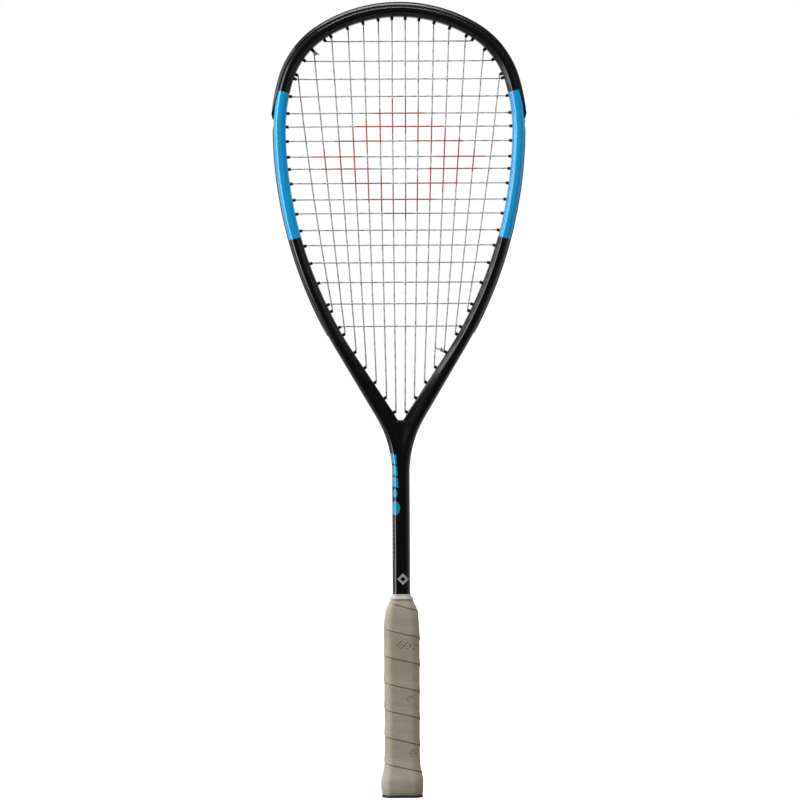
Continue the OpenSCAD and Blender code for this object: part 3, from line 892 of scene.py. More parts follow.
@dataclass
class StringBed:
    """One length of string, threaded as fourteen mains and then woven across them eighteen times."""

    hoop: Hoop
    radius: float = 0.0006
    sides: int = 10
    lane: float = 0.00128
    loop_depth: float = -0.00015
    throat_loop_depth: float = 0.00075
    bend: float = 0.0008
    turn_length: float = 0.0016
    end_reach: float = 0.005
    main_lift: float = 0.00055
    cross_lift: float = 0.00070
    steps: int = 4
    corner: float = 0.0008

    def __post_init__(self) -> None:
        """Find the grommets once."""
        self.crown = self.hoop.crown_grommets()
        self.feet = self.hoop.foot_grommets()
        self.sides_right = self.hoop.side_grommets()
        self.count = len(self.crown)

    def main_at(self, k: int, share: float) -> Vector:
        """Point of a right main string in the plane of the head, from its foot to its top."""
        foot, top = self.feet[k].tip(), self.crown[k].tip()
        bow = 4 * self.hoop.pattern.main_bows[k] * share * (1 - share)
        return foot + (top - foot) * share + Vector((bow, 0, 0))

    def main_share(self, k: int, height: float) -> float:
        """Share of the way up a main string at which it reaches a height."""
        foot, top = self.feet[k].tip().z, self.crown[k].tip().z
        return (height - foot) / (top - foot)

    def crossed(self, k: int, j: int) -> bool:
        """Whether right main string k is met by cross string j inside the head."""
        share = self.main_share(k, self.sides_right[j].tip().z)
        return 0 < share < 1 and self.main_at(k, share).x < self.sides_right[j].tip().x

    def over(self, k: int, side: Side, j: int) -> int:
        """Sign of the side on which cross string j passes a main string: +1 behind it, -1 in front."""
        index = self.count + k if side is Side.RIGHT else self.count - 1 - k
        return 1 if (index + j) % 2 == 0 else -1

    def woven(self, knots: Sequence[Vector]) -> list[Vector]:
        """Points of a string that swings smoothly from one crossing to the next."""
        made = [knots[0]]
        for a, b in zip(knots, knots[1:]):
            for i in range(1, self.steps + 1):
                t = i / self.steps
                point = a.lerp(b, t)
                point.y = between(a.y, b.y, 0.5 - 0.5 * math.cos(math.pi * t))
                made.append(point)
        return made

    def main_run(self, k: int, side: Side) -> list[Vector]:
        """One main string between the outer ends of its two grommets, from the foot upwards."""
        knots = [self.feet[k].tip()]
        for j, grommet in enumerate(self.sides_right):
            if self.crossed(k, j):
                point = self.main_at(k, self.main_share(k, grommet.tip().z))
                knots.append(point + Vector((0, -self.main_lift * self.over(k, side, j), 0)))
        knots.append(self.crown[k].tip())
        depth = self.loop_depth if k == self.count - 1 else self.throat_loop_depth
        foot, top = self.feet[k].inside(depth + self.bend), self.crown[k].inside(self.loop_depth + self.bend)
        run = [foot, *self.woven(knots), top]
        return [across(p, side) for p in run]

    def slot(self, first: Grommet, last: Grommet, side: Side, lane: float, depth: float) -> list[Vector]:
        """Loop in the slot between two grommets on the same side."""
        line = self.hoop.line
        sign = 1 if last.along > first.along else -1
        start, finish = first.along + sign * self.turn_length, last.along - sign * self.turn_length
        made = []
        for i in range(6):
            rim, out = line.at(between(start, finish, i / 5))
            made.append(across(rim - out * depth, side) + Vector((0, lane, 0)))
        return made

    def half_mains(self, side: Side) -> list[Vector]:
        """The mains of one side, from the outermost foot to the top of the middle one."""
        route: list[Vector] = []
        for k in reversed(range(self.count)):
            run = self.main_run(k, side)
            route += run if k % 2 == 0 else list(reversed(run))
            if k and k % 2 == 0:
                route += self.slot(self.crown[k], self.crown[k - 1], side, self.lane, self.loop_depth)
            elif k:
                route += self.slot(self.feet[k], self.feet[k - 1], side, self.lane, self.throat_loop_depth)
        return route

    def free_end(self, side: Side, reach: float) -> Vector:
        """Point in the side slot, below the foot of the outermost main string."""
        rim, out = self.hoop.line.at(self.feet[-1].along + reach)
        return across(rim - out * self.loop_depth, side) + Vector((0, self.lane, 0))

    def mains(self) -> list[Vector]:
        """Centre line of the mains, from the lower right to the lower left."""
        reach = self.crown[0].along - self.turn_length
        top = []
        for i in range(-2, 3):
            rim, out = self.hoop.line.at(abs(reach * i / 2))
            point = rim - out * self.loop_depth
            top.append(Vector((-point.x if i > 0 else point.x, self.lane, point.z)))
        right = [self.free_end(Side.RIGHT, self.end_reach), self.free_end(Side.RIGHT, self.turn_length)]
        left = [self.free_end(Side.LEFT, self.turn_length), self.free_end(Side.LEFT, self.end_reach)]
        return [*right, *self.half_mains(Side.RIGHT), *top, *reversed(self.half_mains(Side.LEFT)), *left]

    def cross_run(self, j: int) -> list[Vector]:
        """One cross string from left to right, in front of and behind the mains in turn."""
        grommet = self.sides_right[j]
        height = grommet.tip().z
        met = []
        for side in Side:
            for k in range(self.count):
                if self.crossed(k, j):
                    point = across(self.main_at(k, self.main_share(k, height)), side)
                    met.append(point + Vector((0, self.cross_lift * self.over(k, side, j), 0)))
        met.sort(key=lambda p: p.x)
        ends = [across(grommet.tip(), side) for side in Side]
        outer = [across(grommet.inside(self.loop_depth + self.bend), side) for side in Side]
        return [outer[0], *self.woven([ends[0], *met, ends[1]]), outer[1]]

    def crosses(self) -> list[Vector]:
        """Centre line of the crosses, from the lower left upwards."""
        route = [self.free_end(Side.LEFT, self.end_reach)]
        rim, out = self.hoop.line.at(self.sides_right[0].along + self.turn_length)
        route.append(across(rim - out * self.loop_depth, Side.LEFT) + Vector((0, self.lane / 2, 0)))
        for j, grommet in enumerate(self.sides_right):
            run = self.cross_run(j)
            route += run if j % 2 == 0 else list(reversed(run))
            if j + 1 < len(self.sides_right):
                side = Side.RIGHT if j % 2 == 0 else Side.LEFT
                route += self.slot(grommet, self.sides_right[j + 1], side, -self.lane, self.loop_depth)
        return route

    def build(self, name: str, route: Sequence[Vector], finish: bpy.types.Material) -> bpy.types.Object:
        """String a length of string along a route.

        Args:
            name: Name of the piece.
            route: Its centre line, with sharp corners.
            finish: Its material.

        Returns:
            The string.
        """
        path = self.rounded(route)
        rings, along = tube_rows(path, self.radius, self.sides)
        skin = Skin()
        skin.rows(rings, around=True, caps=True, along=along)
        return skin.build(name, [finish], sharp=60)

    def rounded(self, route: Sequence[Vector]) -> list[Vector]:
        """Round only the corners of a route that turn sharply."""
        made = [route[0]]
        for before, point, after in zip(route, route[1:], route[2:]):
            into, onward = point - before, after - point
            if into.length < 1e-6:
                continue
            if onward.length < 1e-6 or into.angle(onward) < math.radians(14):
                made.append(point)
                continue
            size = min(self.corner, into.length * 0.45, onward.length * 0.45)
            made += cut_corners([before, point, after], size)[1:-1]
        return [*made, route[-1]]


@dataclass
class TieOffKnots:
    """The two knots that hold the ends of the string, each with its short tail."""

    bed: StringBed
    coil_radius: float = 0.00118
    coil_turns: float = 2.6
    coil_pitch: float = 0.00105
    tail_length: float = 0.0062
    radius: float = 0.00058

    def path(self, grommet: Grommet, side: Side, lean: float, tail: float) -> list[Vector]:
        """Centre line of one knot: coils round the string that end in a curled tail.

        Args:
            grommet: The grommet whose barrel the knot is pulled against.
            side: Side of the head.
            lean: Which way the tail curls, in the plane of the strings.
            tail: Length of the tail.

        Returns:
            Points of the centre line.
        """
        level = grommet.out.cross(FRONT)
        start = grommet.span + grommet.reach + 0.0007
        made = []
        steps = 34
        for i in range(steps + 1):
            t = i / steps
            turn = 2 * math.pi * self.coil_turns * t
            swell = self.coil_radius * (1 + 0.18 * math.sin(3.1 * turn / self.coil_turns))
            wound = 0.5 - 0.5 * math.cos(math.pi * t)
            middle = grommet.inside(start + self.coil_pitch * self.coil_turns * wound)
            made.append(middle + swell * (math.cos(turn) * level + math.sin(turn) * FRONT))
        ahead = (made[-1] - made[-2]).normalized()
        for i in range(1, 13):
            t = i / 12
            inward = grommet.out * (0.25 + 1.1 * math.sin(1.6 * t))
            curl = level * lean * math.cos(1.9 * t) - inward + FRONT * 0.25
            made.append(made[-1] + ahead.lerp(curl, min(1.0, 2 * t)).normalized() * tail / 12)
        return [across(p, side) for p in made]

    def build(self, finish: bpy.types.Material) -> bpy.types.Object:
        """Tie the knots at the lower right and the upper left."""
        skin = Skin()
        lower = (self.bed.feet[4], Side.RIGHT, 1.0, self.tail_length)
        upper = (self.bed.crown[5], Side.LEFT, -0.2, self.tail_length * 0.35)
        for grommet, side, lean, tail in (lower, upper):
            rings, along = tube_rows(self.path(grommet, side, lean, tail), self.radius, 10)
            skin.rows(rings, around=True, caps=True, along=along)
        return skin.build("knots_and_tails", [finish], sharp=60)


# ---- Handle ------------------------------------------------------------------


@dataclass(frozen=True)
class Handle:
    """The bevelled form that the grip, the tape and the cap share."""

    grip_half: float = 0.0155
    grip_half_depth: float = 0.01325
    butt_half: float = 0.0188
    shaft_half: float = 0.00765
    shaft_half_depth: float = 0.0095
    lip: float = 0.0015
    grip_top: float = 0.172
    tape_foot: float = 0.1705
    tape_top: float = 0.1750
    bevel_share: float = 0.34
    rounding: float = 0.0024
    around: int = 144

    def stations(self) -> list[tuple[float, float, float]]:
        """Heights with half the width and half the depth of the grip there."""
        half, deep, butt = self.grip_half, self.grip_half_depth, self.butt_half
        flare = half - deep
        return [
            (self.lip, butt - 0.0013, butt - 0.0013 - flare), (0.0050, butt - 0.0003, butt - 0.0003 - flare),
            (0.0125, butt, butt - flare),
            (0.0158, half + 0.0030, deep + 0.0030),
            (0.019, half + 0.0022, deep + 0.0022),
            (0.0225, half + 0.0014, deep + 0.0014), (0.026, half + 0.0008, deep + 0.0008),
            (0.034, half + 0.0002, deep + 0.0002), (0.055, half, deep), (0.143, half + 0.0001, deep + 0.0001),
            (0.148, half - 0.0002, deep - 0.0001), (0.157, half - 0.0009, deep - 0.0003),
            (0.1635, half - 0.0027, deep - 0.0008), (0.1675, half - 0.0046, deep - 0.0015),
            (self.grip_top, self.shaft_half + 0.0016, self.shaft_half_depth + 0.0016),
        ]

    def size_at(self, height: float) -> tuple[float, float]:
        """Half the width and half the depth at a height, on a smooth line through the stations."""
        marks = self.stations()
        if height <= marks[0][0]:
            return marks[0][1], marks[0][2]
        for i in range(len(marks) - 1):
            low, high = marks[i], marks[i + 1]
            if height <= high[0]:
                t = (height - low[0]) / (high[0] - low[0])
                before, after = marks[max(i - 1, 0)], marks[min(i + 2, len(marks) - 1)]
                found = []
                for axis in (1, 2):
                    into = (high[axis] - before[axis]) / (high[0] - before[0]) * (high[0] - low[0])
                    onward = (after[axis] - low[axis]) / (after[0] - low[0]) * (high[0] - low[0])
                    found.append(
                        (2 * t**3 - 3 * t**2 + 1) * low[axis] + (t**3 - 2 * t**2 + t) * into
                        + (3 * t**2 - 2 * t**3) * high[axis] + (t**3 - t**2) * onward
                    )
                return found[0], found[1]
        return marks[-1][1], marks[-1][2]

    def outline(self, half: float, deep: float, rounding: float | None = None) -> list[Vector]:
        """Eight-sided outline with rounded edges, anticlockwise from the left end of the front facet."""
        bw, bd = half * (1 - self.bevel_share), deep * (1 - self.bevel_share)
        corners = [
            (-bw, -deep), (bw, -deep), (half, -bd), (half, bd),
            (bw, deep), (-bw, deep), (-half, bd), (-half, -bd),
        ]
        flat = [Vector((x, y, 0)) for x, y in corners]
        ring = cut_corners(flat, rounding or self.rounding, steps=4, closed=True)
        ring.append(ring[0])
        lengths = [0.0]
        for a, b in zip(ring, ring[1:]):
            lengths.append(lengths[-1] + (b - a).length)
        made, spot = [], 0
        for k in range(self.around):
            target = lengths[-1] * k / self.around
            while lengths[spot + 1] < target:
                spot += 1
            share = (target - lengths[spot]) / max(lengths[spot + 1] - lengths[spot], 1e-9)
            made.append(ring[spot].lerp(ring[spot + 1], share))
        return made

    def ring(self, height: float, margin: float = 0.0) -> list[Vector]:
        """Ring of the grip's plain surface at a height, enlarged by a margin."""
        half, deep = self.size_at(height)
        return [p + UP * height for p in self.outline(half + margin, deep + margin)]


@dataclass(frozen=True)
class Lozenge:
    """A plain diamond pressed into the grip."""

    x: float
    z: float
    half_width: float = 0.0038
    half_height: float = 0.0036
    band: float = 0.16
    depth: float = 0.00050

    def press(self, x: float, z: float) -> float:
        """How far the surface is pushed in at a place on the front facet."""
        reach = abs(x - self.x) / self.half_width + abs(z - self.z) / self.half_height
        ring = max(0.0, 1 - abs(reach - 0.84) / self.band)
        dot = max(0.0, 1 - reach / 0.42)
        return self.depth * (min(1.0, ring * 1.6) + 0.8 * min(1.0, dot * 2))


@dataclass
class WrappedGrip:
    """A cushioned strip wound up the handle, each turn lapping over the one below it."""

    form: Handle
    pitch: float = 0.0231
    first_seam: float = 0.0288
    lean: float = 0.23
    lap: float = 0.115
    lap_height: float = 0.00030
    edge: float = 0.0007
    edge_lip: float = 0.00024
    groove: float = 0.00050
    groove_width: float = 0.0013
    row_height: float = 0.00030
    wrinkle: float = 0.00016
    wrinkle_size: float = 0.012
    hem: float = 0.0012
    lozenges: tuple[Lozenge, ...] = (
        Lozenge(-0.0005, 0.1310), Lozenge(0.0050, 0.1305), Lozenge(0.0102, 0.1300), Lozenge(0.0078, 0.0845),
        Lozenge(0.0092, 0.0375),
    )

    def turn(self, height: float, around: float) -> float:
        """Number of turns wound by a place on the handle; the whole numbers are seams.

        Args:
            height: Height of the place.
            around: Distance from the left end of the front facet, measured to the right.

        Returns:
            The number of turns.
        """
        return (height - self.first_seam + self.lean * around) / self.pitch

    def relief(self, height: float, around: float, point: Vector) -> float:
        """How far the wrapped surface stands above the plain form."""
        turn = self.turn(height, around)
        share = turn - math.floor(turn)
        wind = ease(self.form.lip, 0.012, height) * (1 - ease(0.166, 0.1705, height))
        lapped = (1 - ease(self.lap, self.lap * 2.6, share)) * self.lap_height
        drop = ease(0.0, self.edge / self.pitch, share)
        lip = self.edge_lip * max(0.0, 1 - abs(share * self.pitch - self.edge) / self.edge)
        groove = -self.groove * ease(1 - self.groove_width / self.pitch, 1.0, share)
        swirl = noise.noise(Vector((point.x, point.y, point.z * 1.7)) / self.wrinkle_size) * self.wrinkle
        small = Vector((point.x, point.y, point.z * 2.3)) / (self.wrinkle_size / 3.4)
        swirl += noise.noise(small) * self.wrinkle * 0.4
        return wind * (lapped * drop + lip + groove + swirl)

    def build(self, finish: bpy.types.Material) -> bpy.types.Object:
        """Wind the grip.

        Args:
            finish: Its material.

        Returns:
            The grip.
        """
        form = self.form
        low, high = form.lip + 0.0001, form.grip_top
        count = round((high - low) / self.row_height)
        rows, along = [], []
        sunk = self.lap_height + self.edge_lip
        for i in range(count + 1):
            height = between(low, high, i / count)
            end = 1 - ease(form.lip, form.lip + self.hem, height)
            press = sunk * between(1.15, 0.5, ease(0.018, 0.040, height))
            ring = form.ring(height, -press - self.hem * end * end)
            perimeter = sum((b - a).length for a, b in zip(ring, [*ring[1:], ring[0]]))
            row = []
            for k, point in enumerate(ring):
                side = (ring[(k + 1) % len(ring)] - ring[k - 1]).normalized()
                out = side.cross(UP)
                around = perimeter * k / len(ring)
                pushed = self.relief(height, self.fixed_around(around, perimeter), point)
                if point.y < 0 and k < len(ring) // 3:
                    pushed -= sum(mark.press(point.x, height) for mark in self.lozenges)
                row.append(point + out * pushed)
            rows.append(row)
            along.append(height)
        skin = Skin()
        inner = [form.ring(height, -0.0021) for height in (high, low)]
        skin.rows([*rows, *inner, rows[0]], around=True, along=[*along, high, low, low])
        return skin.build("cushion_grip", [finish], sharp=55)

    def fixed_around(self, around: float, perimeter: float) -> float:
        """Distance round the barrel of the handle that matches one round a thicker or thinner place."""
        return around / perimeter * self.pitch / self.lean


@dataclass
class HandleTrim:
    """The finishing tape at the top of the grip and the cap at its butt."""

    form: Handle
    tape_thickness: float = 0.00032
    cap_edge: float = 0.0011
    recess_depth: float = 0.0011
    recess_share: float = 0.62
    ring_share: float = 0.36
    lip_inset: float = 0.0011
    lip_round: float = 0.00035
    seat_inset: float = 0.0026
    skirt_inset: float = 0.0021
    skirt_top: float = 0.028
    core_inset: float = 0.0017
    cup_floor: float = 0.004

    def tape(self, finish: bpy.types.Material) -> bpy.types.Object:
        """Wind the tape over the end of the grip and down onto the shaft."""
        form = self.form
        clear = 0.00012
        neck, neck_deep = form.shaft_half + clear, form.shaft_half_depth + clear
        marks = [(form.tape_foot, *(v + clear for v in form.size_at(form.tape_foot)))]
        for height in (0.1710, 0.1716):
            marks.append((height, *(v + clear for v in form.size_at(height))))
        marks += [
            (form.grip_top + 0.0001, form.shaft_half + 0.00125, form.shaft_half_depth + 0.00125),
            (form.grip_top + 0.0006, neck + 0.0004, neck_deep + 0.0004),
            (form.grip_top + 0.0012, neck, neck_deep), (form.tape_top, neck, neck_deep),
        ]
        outer, inner = [], []
        for i, (height, half, deep) in enumerate(marks):
            ease_in = 0.3 if i in (0, len(marks) - 1) else 1.0
            thick = self.tape_thickness * ease_in
            tight = 0.0016 if height > form.grip_top else form.rounding
            for made, extra in ((outer, thick), (inner, 0.0)):
                ring = []
                for p in form.outline(half + extra, deep + extra, tight):
                    wave = noise.noise(Vector((p.x, p.y, height)) / 0.004) * 0.00010 * ease_in
                    ring.append(p * (1 + (wave / half if made is outer else 0.0)) + UP * height)
                made.append(ring)
        skin = Skin()
        along = [m[0] for m in marks]
        laid = [*along, *reversed(along), along[0]]
        skin.rows([*outer, *reversed(inner), outer[0]], around=True, along=laid)
        return skin.build("wound_finishing_tape", [finish], sharp=60)

    def cap(self, finish: bpy.types.Material) -> bpy.types.Object:
        """Mould the cap: a rounded lip under the grip, with a shallow plain recess and ring in its end."""
        form = self.form
        flare = form.grip_half - form.grip_half_depth
        lip = form.butt_half - self.lip_inset
        rows = []
        for share, height in ((0.0, 0.0), (0.25, 0.0001), (0.55, 0.0004), (0.8, 0.0007), (1.0, 0.0011)):
            grow = lip - self.cap_edge * (1 - math.sqrt(1 - (1 - share) ** 2))
            rows.append([p + UP * height for p in form.outline(grow, grow - flare)])
        rows.append([p + UP * (form.lip - self.lip_round) for p in form.outline(lip, lip - flare)])
        rows.append([p + UP * (form.lip - 0.0001) for p in form.outline(lip - 0.0003, lip - 0.0003 - flare)])
        inside = form.butt_half - self.seat_inset
        rows.append([p + UP * (form.lip - 0.0001) for p in form.outline(inside, inside - flare)])
        for height in (0.0125, 0.019, 0.026, self.skirt_top):
            half, deep = form.size_at(height)
            skirt = form.outline(half - self.skirt_inset, deep - self.skirt_inset)
            rows.append([p + UP * height for p in skirt])
        core, core_deep = form.grip_half - self.core_inset, form.grip_half_depth - self.core_inset
        floor = UP * self.cup_floor
        rows.append([p + UP * self.skirt_top for p in form.outline(core, core_deep)])
        rows.append([p + floor for p in form.outline(core, core_deep)])
        rows.append([p * 0.02 + floor for p in form.outline(core, core_deep)])
        bottom = []
        base = form.outline(lip - self.cap_edge, lip - self.cap_edge - flare)
        steps = (
            (0.985, 0.0), (self.recess_share + 0.03, 0.0),
            (self.recess_share, 0.25), (self.recess_share - 0.03, 1.0),
            (self.ring_share + 0.05, 1.0), (self.ring_share + 0.03, 0.55),
            (self.ring_share - 0.03, 0.55), (self.ring_share - 0.05, 1.0), (0.03, 1.0),
        )
        for share, sunk in steps:
            bottom.append([
                self.rounder(p, share, lip - self.cap_edge) + UP * self.recess_depth * sunk for p in base
            ])
        skin = Skin()
        skin.rows([*reversed(bottom), *rows], around=True, caps=True)
        return skin.build("butt_cap_moulding", [finish], sharp=35)

    def rounder(self, point: Vector, share: float, half: float) -> Vector:
        """Point of the cap's end, drawn towards the middle and from the bevelled outline to a circle."""
        circle = point.normalized() * half * 0.86
        return (circle if share < 0.9 else point) * share


# ---- Finishes ----------------------------------------------------------------


def blank_material(name: str) -> tuple[bpy.types.Material, bpy.types.Nodes, bpy.types.NodeLinks]:
    """A new material with an empty node tree.

    Args:
        name: Its name.

    Returns:
        The material, its nodes and its links.
    """
    material = bpy.data.materials.new(name)
    material.use_nodes = True
    material.node_tree.nodes.clear()
    return material, material.node_tree.nodes, material.node_tree.links


@dataclass(frozen=True)
class Lacquer:
    """Sprayed lacquer over moulded carbon."""

    name: str
    base: tuple[float, float, float]
    deep: tuple[float, float, float]
    roughness: float
    coat: float
    coat_roughness: float
    marked: bool = False

    def material(self) -> bpy.types.Material:
        """Mix the lacquer.

        Returns:
            Lacquer with a slight cloudiness, fine flakes and handling haze; the marked one has plain prints.
        """
        material, nodes, links = blank_material(self.name)
        spot = nodes.new("ShaderNodeTexCoord")
        spot.label = "Place on the racket"
        out = nodes.new("ShaderNodeOutputMaterial")
        out.label = "Lacquered surface"
        paint = nodes.new("ShaderNodeBsdfPrincipled")
        paint.label = "Lacquer and clear coat"

        cloud = nodes.new("ShaderNodeTexNoise")
        cloud.label = "Cloudiness of the spray"
        flake = nodes.new("ShaderNodeTexVoronoi")
        flake.label = "Fine flakes in the paint"
        flake_tone = nodes.new("ShaderNodeMapRange")
        flake_tone.label = "How much the flakes differ"
        tint = nodes.new("ShaderNodeMix")
        tint.label = "Deep and plain paint"
        sparkle = nodes.new("ShaderNodeMix")
        sparkle.label = "Flakes over the paint"
        colour_group = nodes.new("NodeFrame")
        colour_group.label = "Colour of the lacquer"

        haze = nodes.new("ShaderNodeTexNoise")
        haze.label = "Haze from handling"
        haze_range = nodes.new("ShaderNodeMapRange")
        haze_range.label = "Gloss between clean and handled"
        ripple = nodes.new("ShaderNodeTexNoise")
        ripple.label = "Faint ripple of the coat"
        ripple_bump = nodes.new("ShaderNodeBump")
        ripple_bump.label = "Ripple of the surface"
        gloss_group = nodes.new("NodeFrame")
        gloss_group.label = "Gloss and surface"

        for node in (cloud, flake, flake_tone, tint, sparkle):
            node.parent = colour_group
        for node in (haze, haze_range, ripple, ripple_bump):
            node.parent = gloss_group
        layout = {
            spot: (-1500, 0), cloud: (-1250, 300), flake: (-1250, 60), flake_tone: (-1000, 60),
            tint: (-1000, 300), sparkle: (-760, 240), haze: (-1250, -260), haze_range: (-1000, -260),
            ripple: (-1250, -520), ripple_bump: (-1000, -520), paint: (-160, 100), out: (160, 100),
        }
        for node, where in layout.items():
            node.location = where

        cloud.inputs["Scale"].default_value = 34.0
        cloud.inputs["Detail"].default_value = 3.0
        flake.inputs["Scale"].default_value = 2600.0
        flake_tone.inputs["To Min"].default_value = 0.0
        flake_tone.inputs["To Max"].default_value = 0.22
        tint.data_type = "RGBA"
        tint.inputs[6].default_value = (*self.deep, 1)
        tint.inputs[7].default_value = (*self.base, 1)
        sparkle.data_type = "RGBA"
        sparkle.blend_type = "SCREEN"
        sparkle.inputs[7].default_value = (*(min(1.0, c * 1.8 + 0.002) for c in self.base), 1)
        haze.inputs["Scale"].default_value = 90.0
        haze.inputs["Detail"].default_value = 4.0
        haze_range.inputs["To Min"].default_value = self.roughness * 0.86
        haze_range.inputs["To Max"].default_value = self.roughness * 1.18
        ripple.inputs["Scale"].default_value = 420.0
        ripple.inputs["Detail"].default_value = 2.0
        ripple_bump.inputs["Strength"].default_value = 0.05
        ripple_bump.inputs["Distance"].default_value = 0.0002
        paint.inputs["Coat Weight"].default_value = self.coat
        paint.inputs["Coat Roughness"].default_value = self.coat_roughness

        links.new(spot.outputs["Object"], cloud.inputs["Vector"])
        links.new(spot.outputs["Object"], flake.inputs["Vector"])
        links.new(spot.outputs["Object"], haze.inputs["Vector"])
        links.new(spot.outputs["Object"], ripple.inputs["Vector"])
        links.new(cloud.outputs["Fac"], tint.inputs[0])
        links.new(flake.outputs["Color"], flake_tone.inputs["Value"])
        links.new(flake_tone.outputs["Result"], sparkle.inputs[0])
        links.new(tint.outputs[2], sparkle.inputs[6])
        links.new(haze.outputs["Fac"], haze_range.inputs["Value"])
        links.new(haze_range.outputs["Result"], paint.inputs["Roughness"])
        links.new(ripple.outputs["Fac"], ripple_bump.inputs["Height"])
        links.new(ripple_bump.outputs["Normal"], paint.inputs["Normal"])
        links.new(paint.outputs["BSDF"], out.inputs["Surface"])
        if self.marked:
            self.print_marks(nodes, links, spot, sparkle, paint)
        else:
            links.new(sparkle.outputs[2], paint.inputs["Base Color"])
        return material

    def print_marks(
        self,
        nodes: bpy.types.Nodes,
        links: bpy.types.NodeLinks,
        spot: bpy.types.Node,
        colour: bpy.types.Node,
        paint: bpy.types.Node,
    ) -> None:
        """Print plain blocks, a dot, a disc, dashes and a small diamond on the front of the shaft.

        Args:
            nodes: Nodes of the material.
            links: Links of the material.
            spot: Node that gives the place on the racket.
            colour: Node whose third output is the colour of the lacquer.
            paint: The surface that takes the printed colour.
        """
        axes = nodes.new("ShaderNodeSeparateXYZ")
        axes.label = "Across, through and up"
        front = nodes.new("ShaderNodeMath")
        front.label = "Front only"
        slant = nodes.new("ShaderNodeMath")
        slant.label = "Slanted ends of the blocks"
        lifted = nodes.new("ShaderNodeMath")
        lifted.label = "Height above the lowest block"
        rhythm = nodes.new("ShaderNodeMath")
        rhythm.label = "One block after another"
        block_part = nodes.new("ShaderNodeMath")
        block_part.label = "Place within a block and its gap"
        block = nodes.new("ShaderNodeMath")
        block.label = "Block, not gap"
        above = nodes.new("ShaderNodeMath")
        above.label = "Above the lowest block"
        below = nodes.new("ShaderNodeMath")
        below.label = "Below the top of the blocks"
        edge_line = nodes.new("ShaderNodeMath")
        edge_line.label = "Leaning right edge of the blocks"
        left_of = nodes.new("ShaderNodeMath")
        left_of.label = "Left of that edge"
        stack = nodes.new("ShaderNodeMath")
        stack.label = "Within the stack's height"
        stack_side = nodes.new("ShaderNodeMath")
        stack_side.label = "Within the stack"
        blocks = nodes.new("ShaderNodeMath")
        blocks.label = "The blocks"
        block_group = nodes.new("NodeFrame")
        block_group.label = "Three plain blocks"

        dot_place = nodes.new("ShaderNodeVectorMath")
        dot_place.label = "From the middle of the dot"
        dot_size = nodes.new("ShaderNodeVectorMath")
        dot_size.label = "In half sizes of the dot"
        dot_far = nodes.new("ShaderNodeVectorMath")
        dot_far.label = "Distance from the dot"
        dot = nodes.new("ShaderNodeMath")
        dot.label = "The dot"
        disc_place = nodes.new("ShaderNodeVectorMath")
        disc_place.label = "From the middle of the disc"
        disc_size = nodes.new("ShaderNodeVectorMath")
        disc_size.label = "In half sizes of the disc"
        disc_far = nodes.new("ShaderNodeVectorMath")
        disc_far.label = "Distance from the disc"
        disc = nodes.new("ShaderNodeMath")
        disc.label = "The disc"
        round_group = nodes.new("NodeFrame")
        round_group.label = "Dot and disc"

        dashes = nodes.new("ShaderNodeTexWave")
        dashes.label = "Small dashes up the left edge"
        dash = nodes.new("ShaderNodeMath")
        dash.label = "Dash, not gap"
        dash_edge = nodes.new("ShaderNodeMath")
        dash_edge.label = "Only at the left edge"
        dash_height = nodes.new("ShaderNodeMath")
        dash_height.label = "Only below the disc"
        dash_here = nodes.new("ShaderNodeMath")
        dash_here.label = "Within the row of dashes"
        dash_row = nodes.new("ShaderNodeMath")
        dash_row.label = "The dashes"
        faint = nodes.new("ShaderNodeMath")
        faint.label = "Thin ink of the dashes"
        dash_group = nodes.new("NodeFrame")
        dash_group.label = "Row of dashes"

        diamond_place = nodes.new("ShaderNodeVectorMath")
        diamond_place.label = "From the middle of the diamond"
        diamond_size = nodes.new("ShaderNodeVectorMath")
        diamond_size.label = "Sizes without sign"
        diamond_axes = nodes.new("ShaderNodeSeparateXYZ")
        diamond_axes.label = "Across and up from its middle"
        diamond_far = nodes.new("ShaderNodeMath")
        diamond_far.label = "Distance counted along both axes"
        diamond = nodes.new("ShaderNodeMath")
        diamond.label = "Outline of the diamond"
        diamond_front = nodes.new("ShaderNodeMath")
        diamond_front.label = "The diamond, on the front"
        diamond_group = nodes.new("NodeFrame")
        diamond_group.label = "Small diamond above the grip"

        with_dot = nodes.new("ShaderNodeMath")
        with_dot.label = "Blocks and dot"
        with_disc = nodes.new("ShaderNodeMath")
        with_disc.label = "Blocks, dot and disc"
        with_dashes = nodes.new("ShaderNodeMath")
        with_dashes.label = "All the blue marks"
        blue_front = nodes.new("ShaderNodeMath")
        blue_front.label = "Blue marks, on the front"
        blue = nodes.new("ShaderNodeMix")
        blue.label = "Blue print over the lacquer"
        grey = nodes.new("ShaderNodeMix")
        grey.label = "Grey print over the lacquer"
        print_group = nodes.new("NodeFrame")
        print_group.label = "Printing"

        groups = {
            block_group: (
                axes, slant, lifted, rhythm, block_part, block, above, below, edge_line, left_of,
                stack, stack_side, blocks,
            ),
            round_group: (dot_place, dot_size, dot_far, dot, disc_place, disc_size, disc_far, disc),
            dash_group: (dashes, dash, dash_edge, dash_height, dash_here, dash_row, faint),
            diamond_group: (diamond_place, diamond_size, diamond_axes, diamond_far, diamond, diamond_front),
            print_group: (front, with_dot, with_disc, with_dashes, blue_front, blue, grey),
        }
        for row, (group, members) in enumerate(groups.items()):
            for column, node in enumerate(members):
                node.parent = group
                node.location = (-2400 + 190 * column, 1900 - 320 * row)

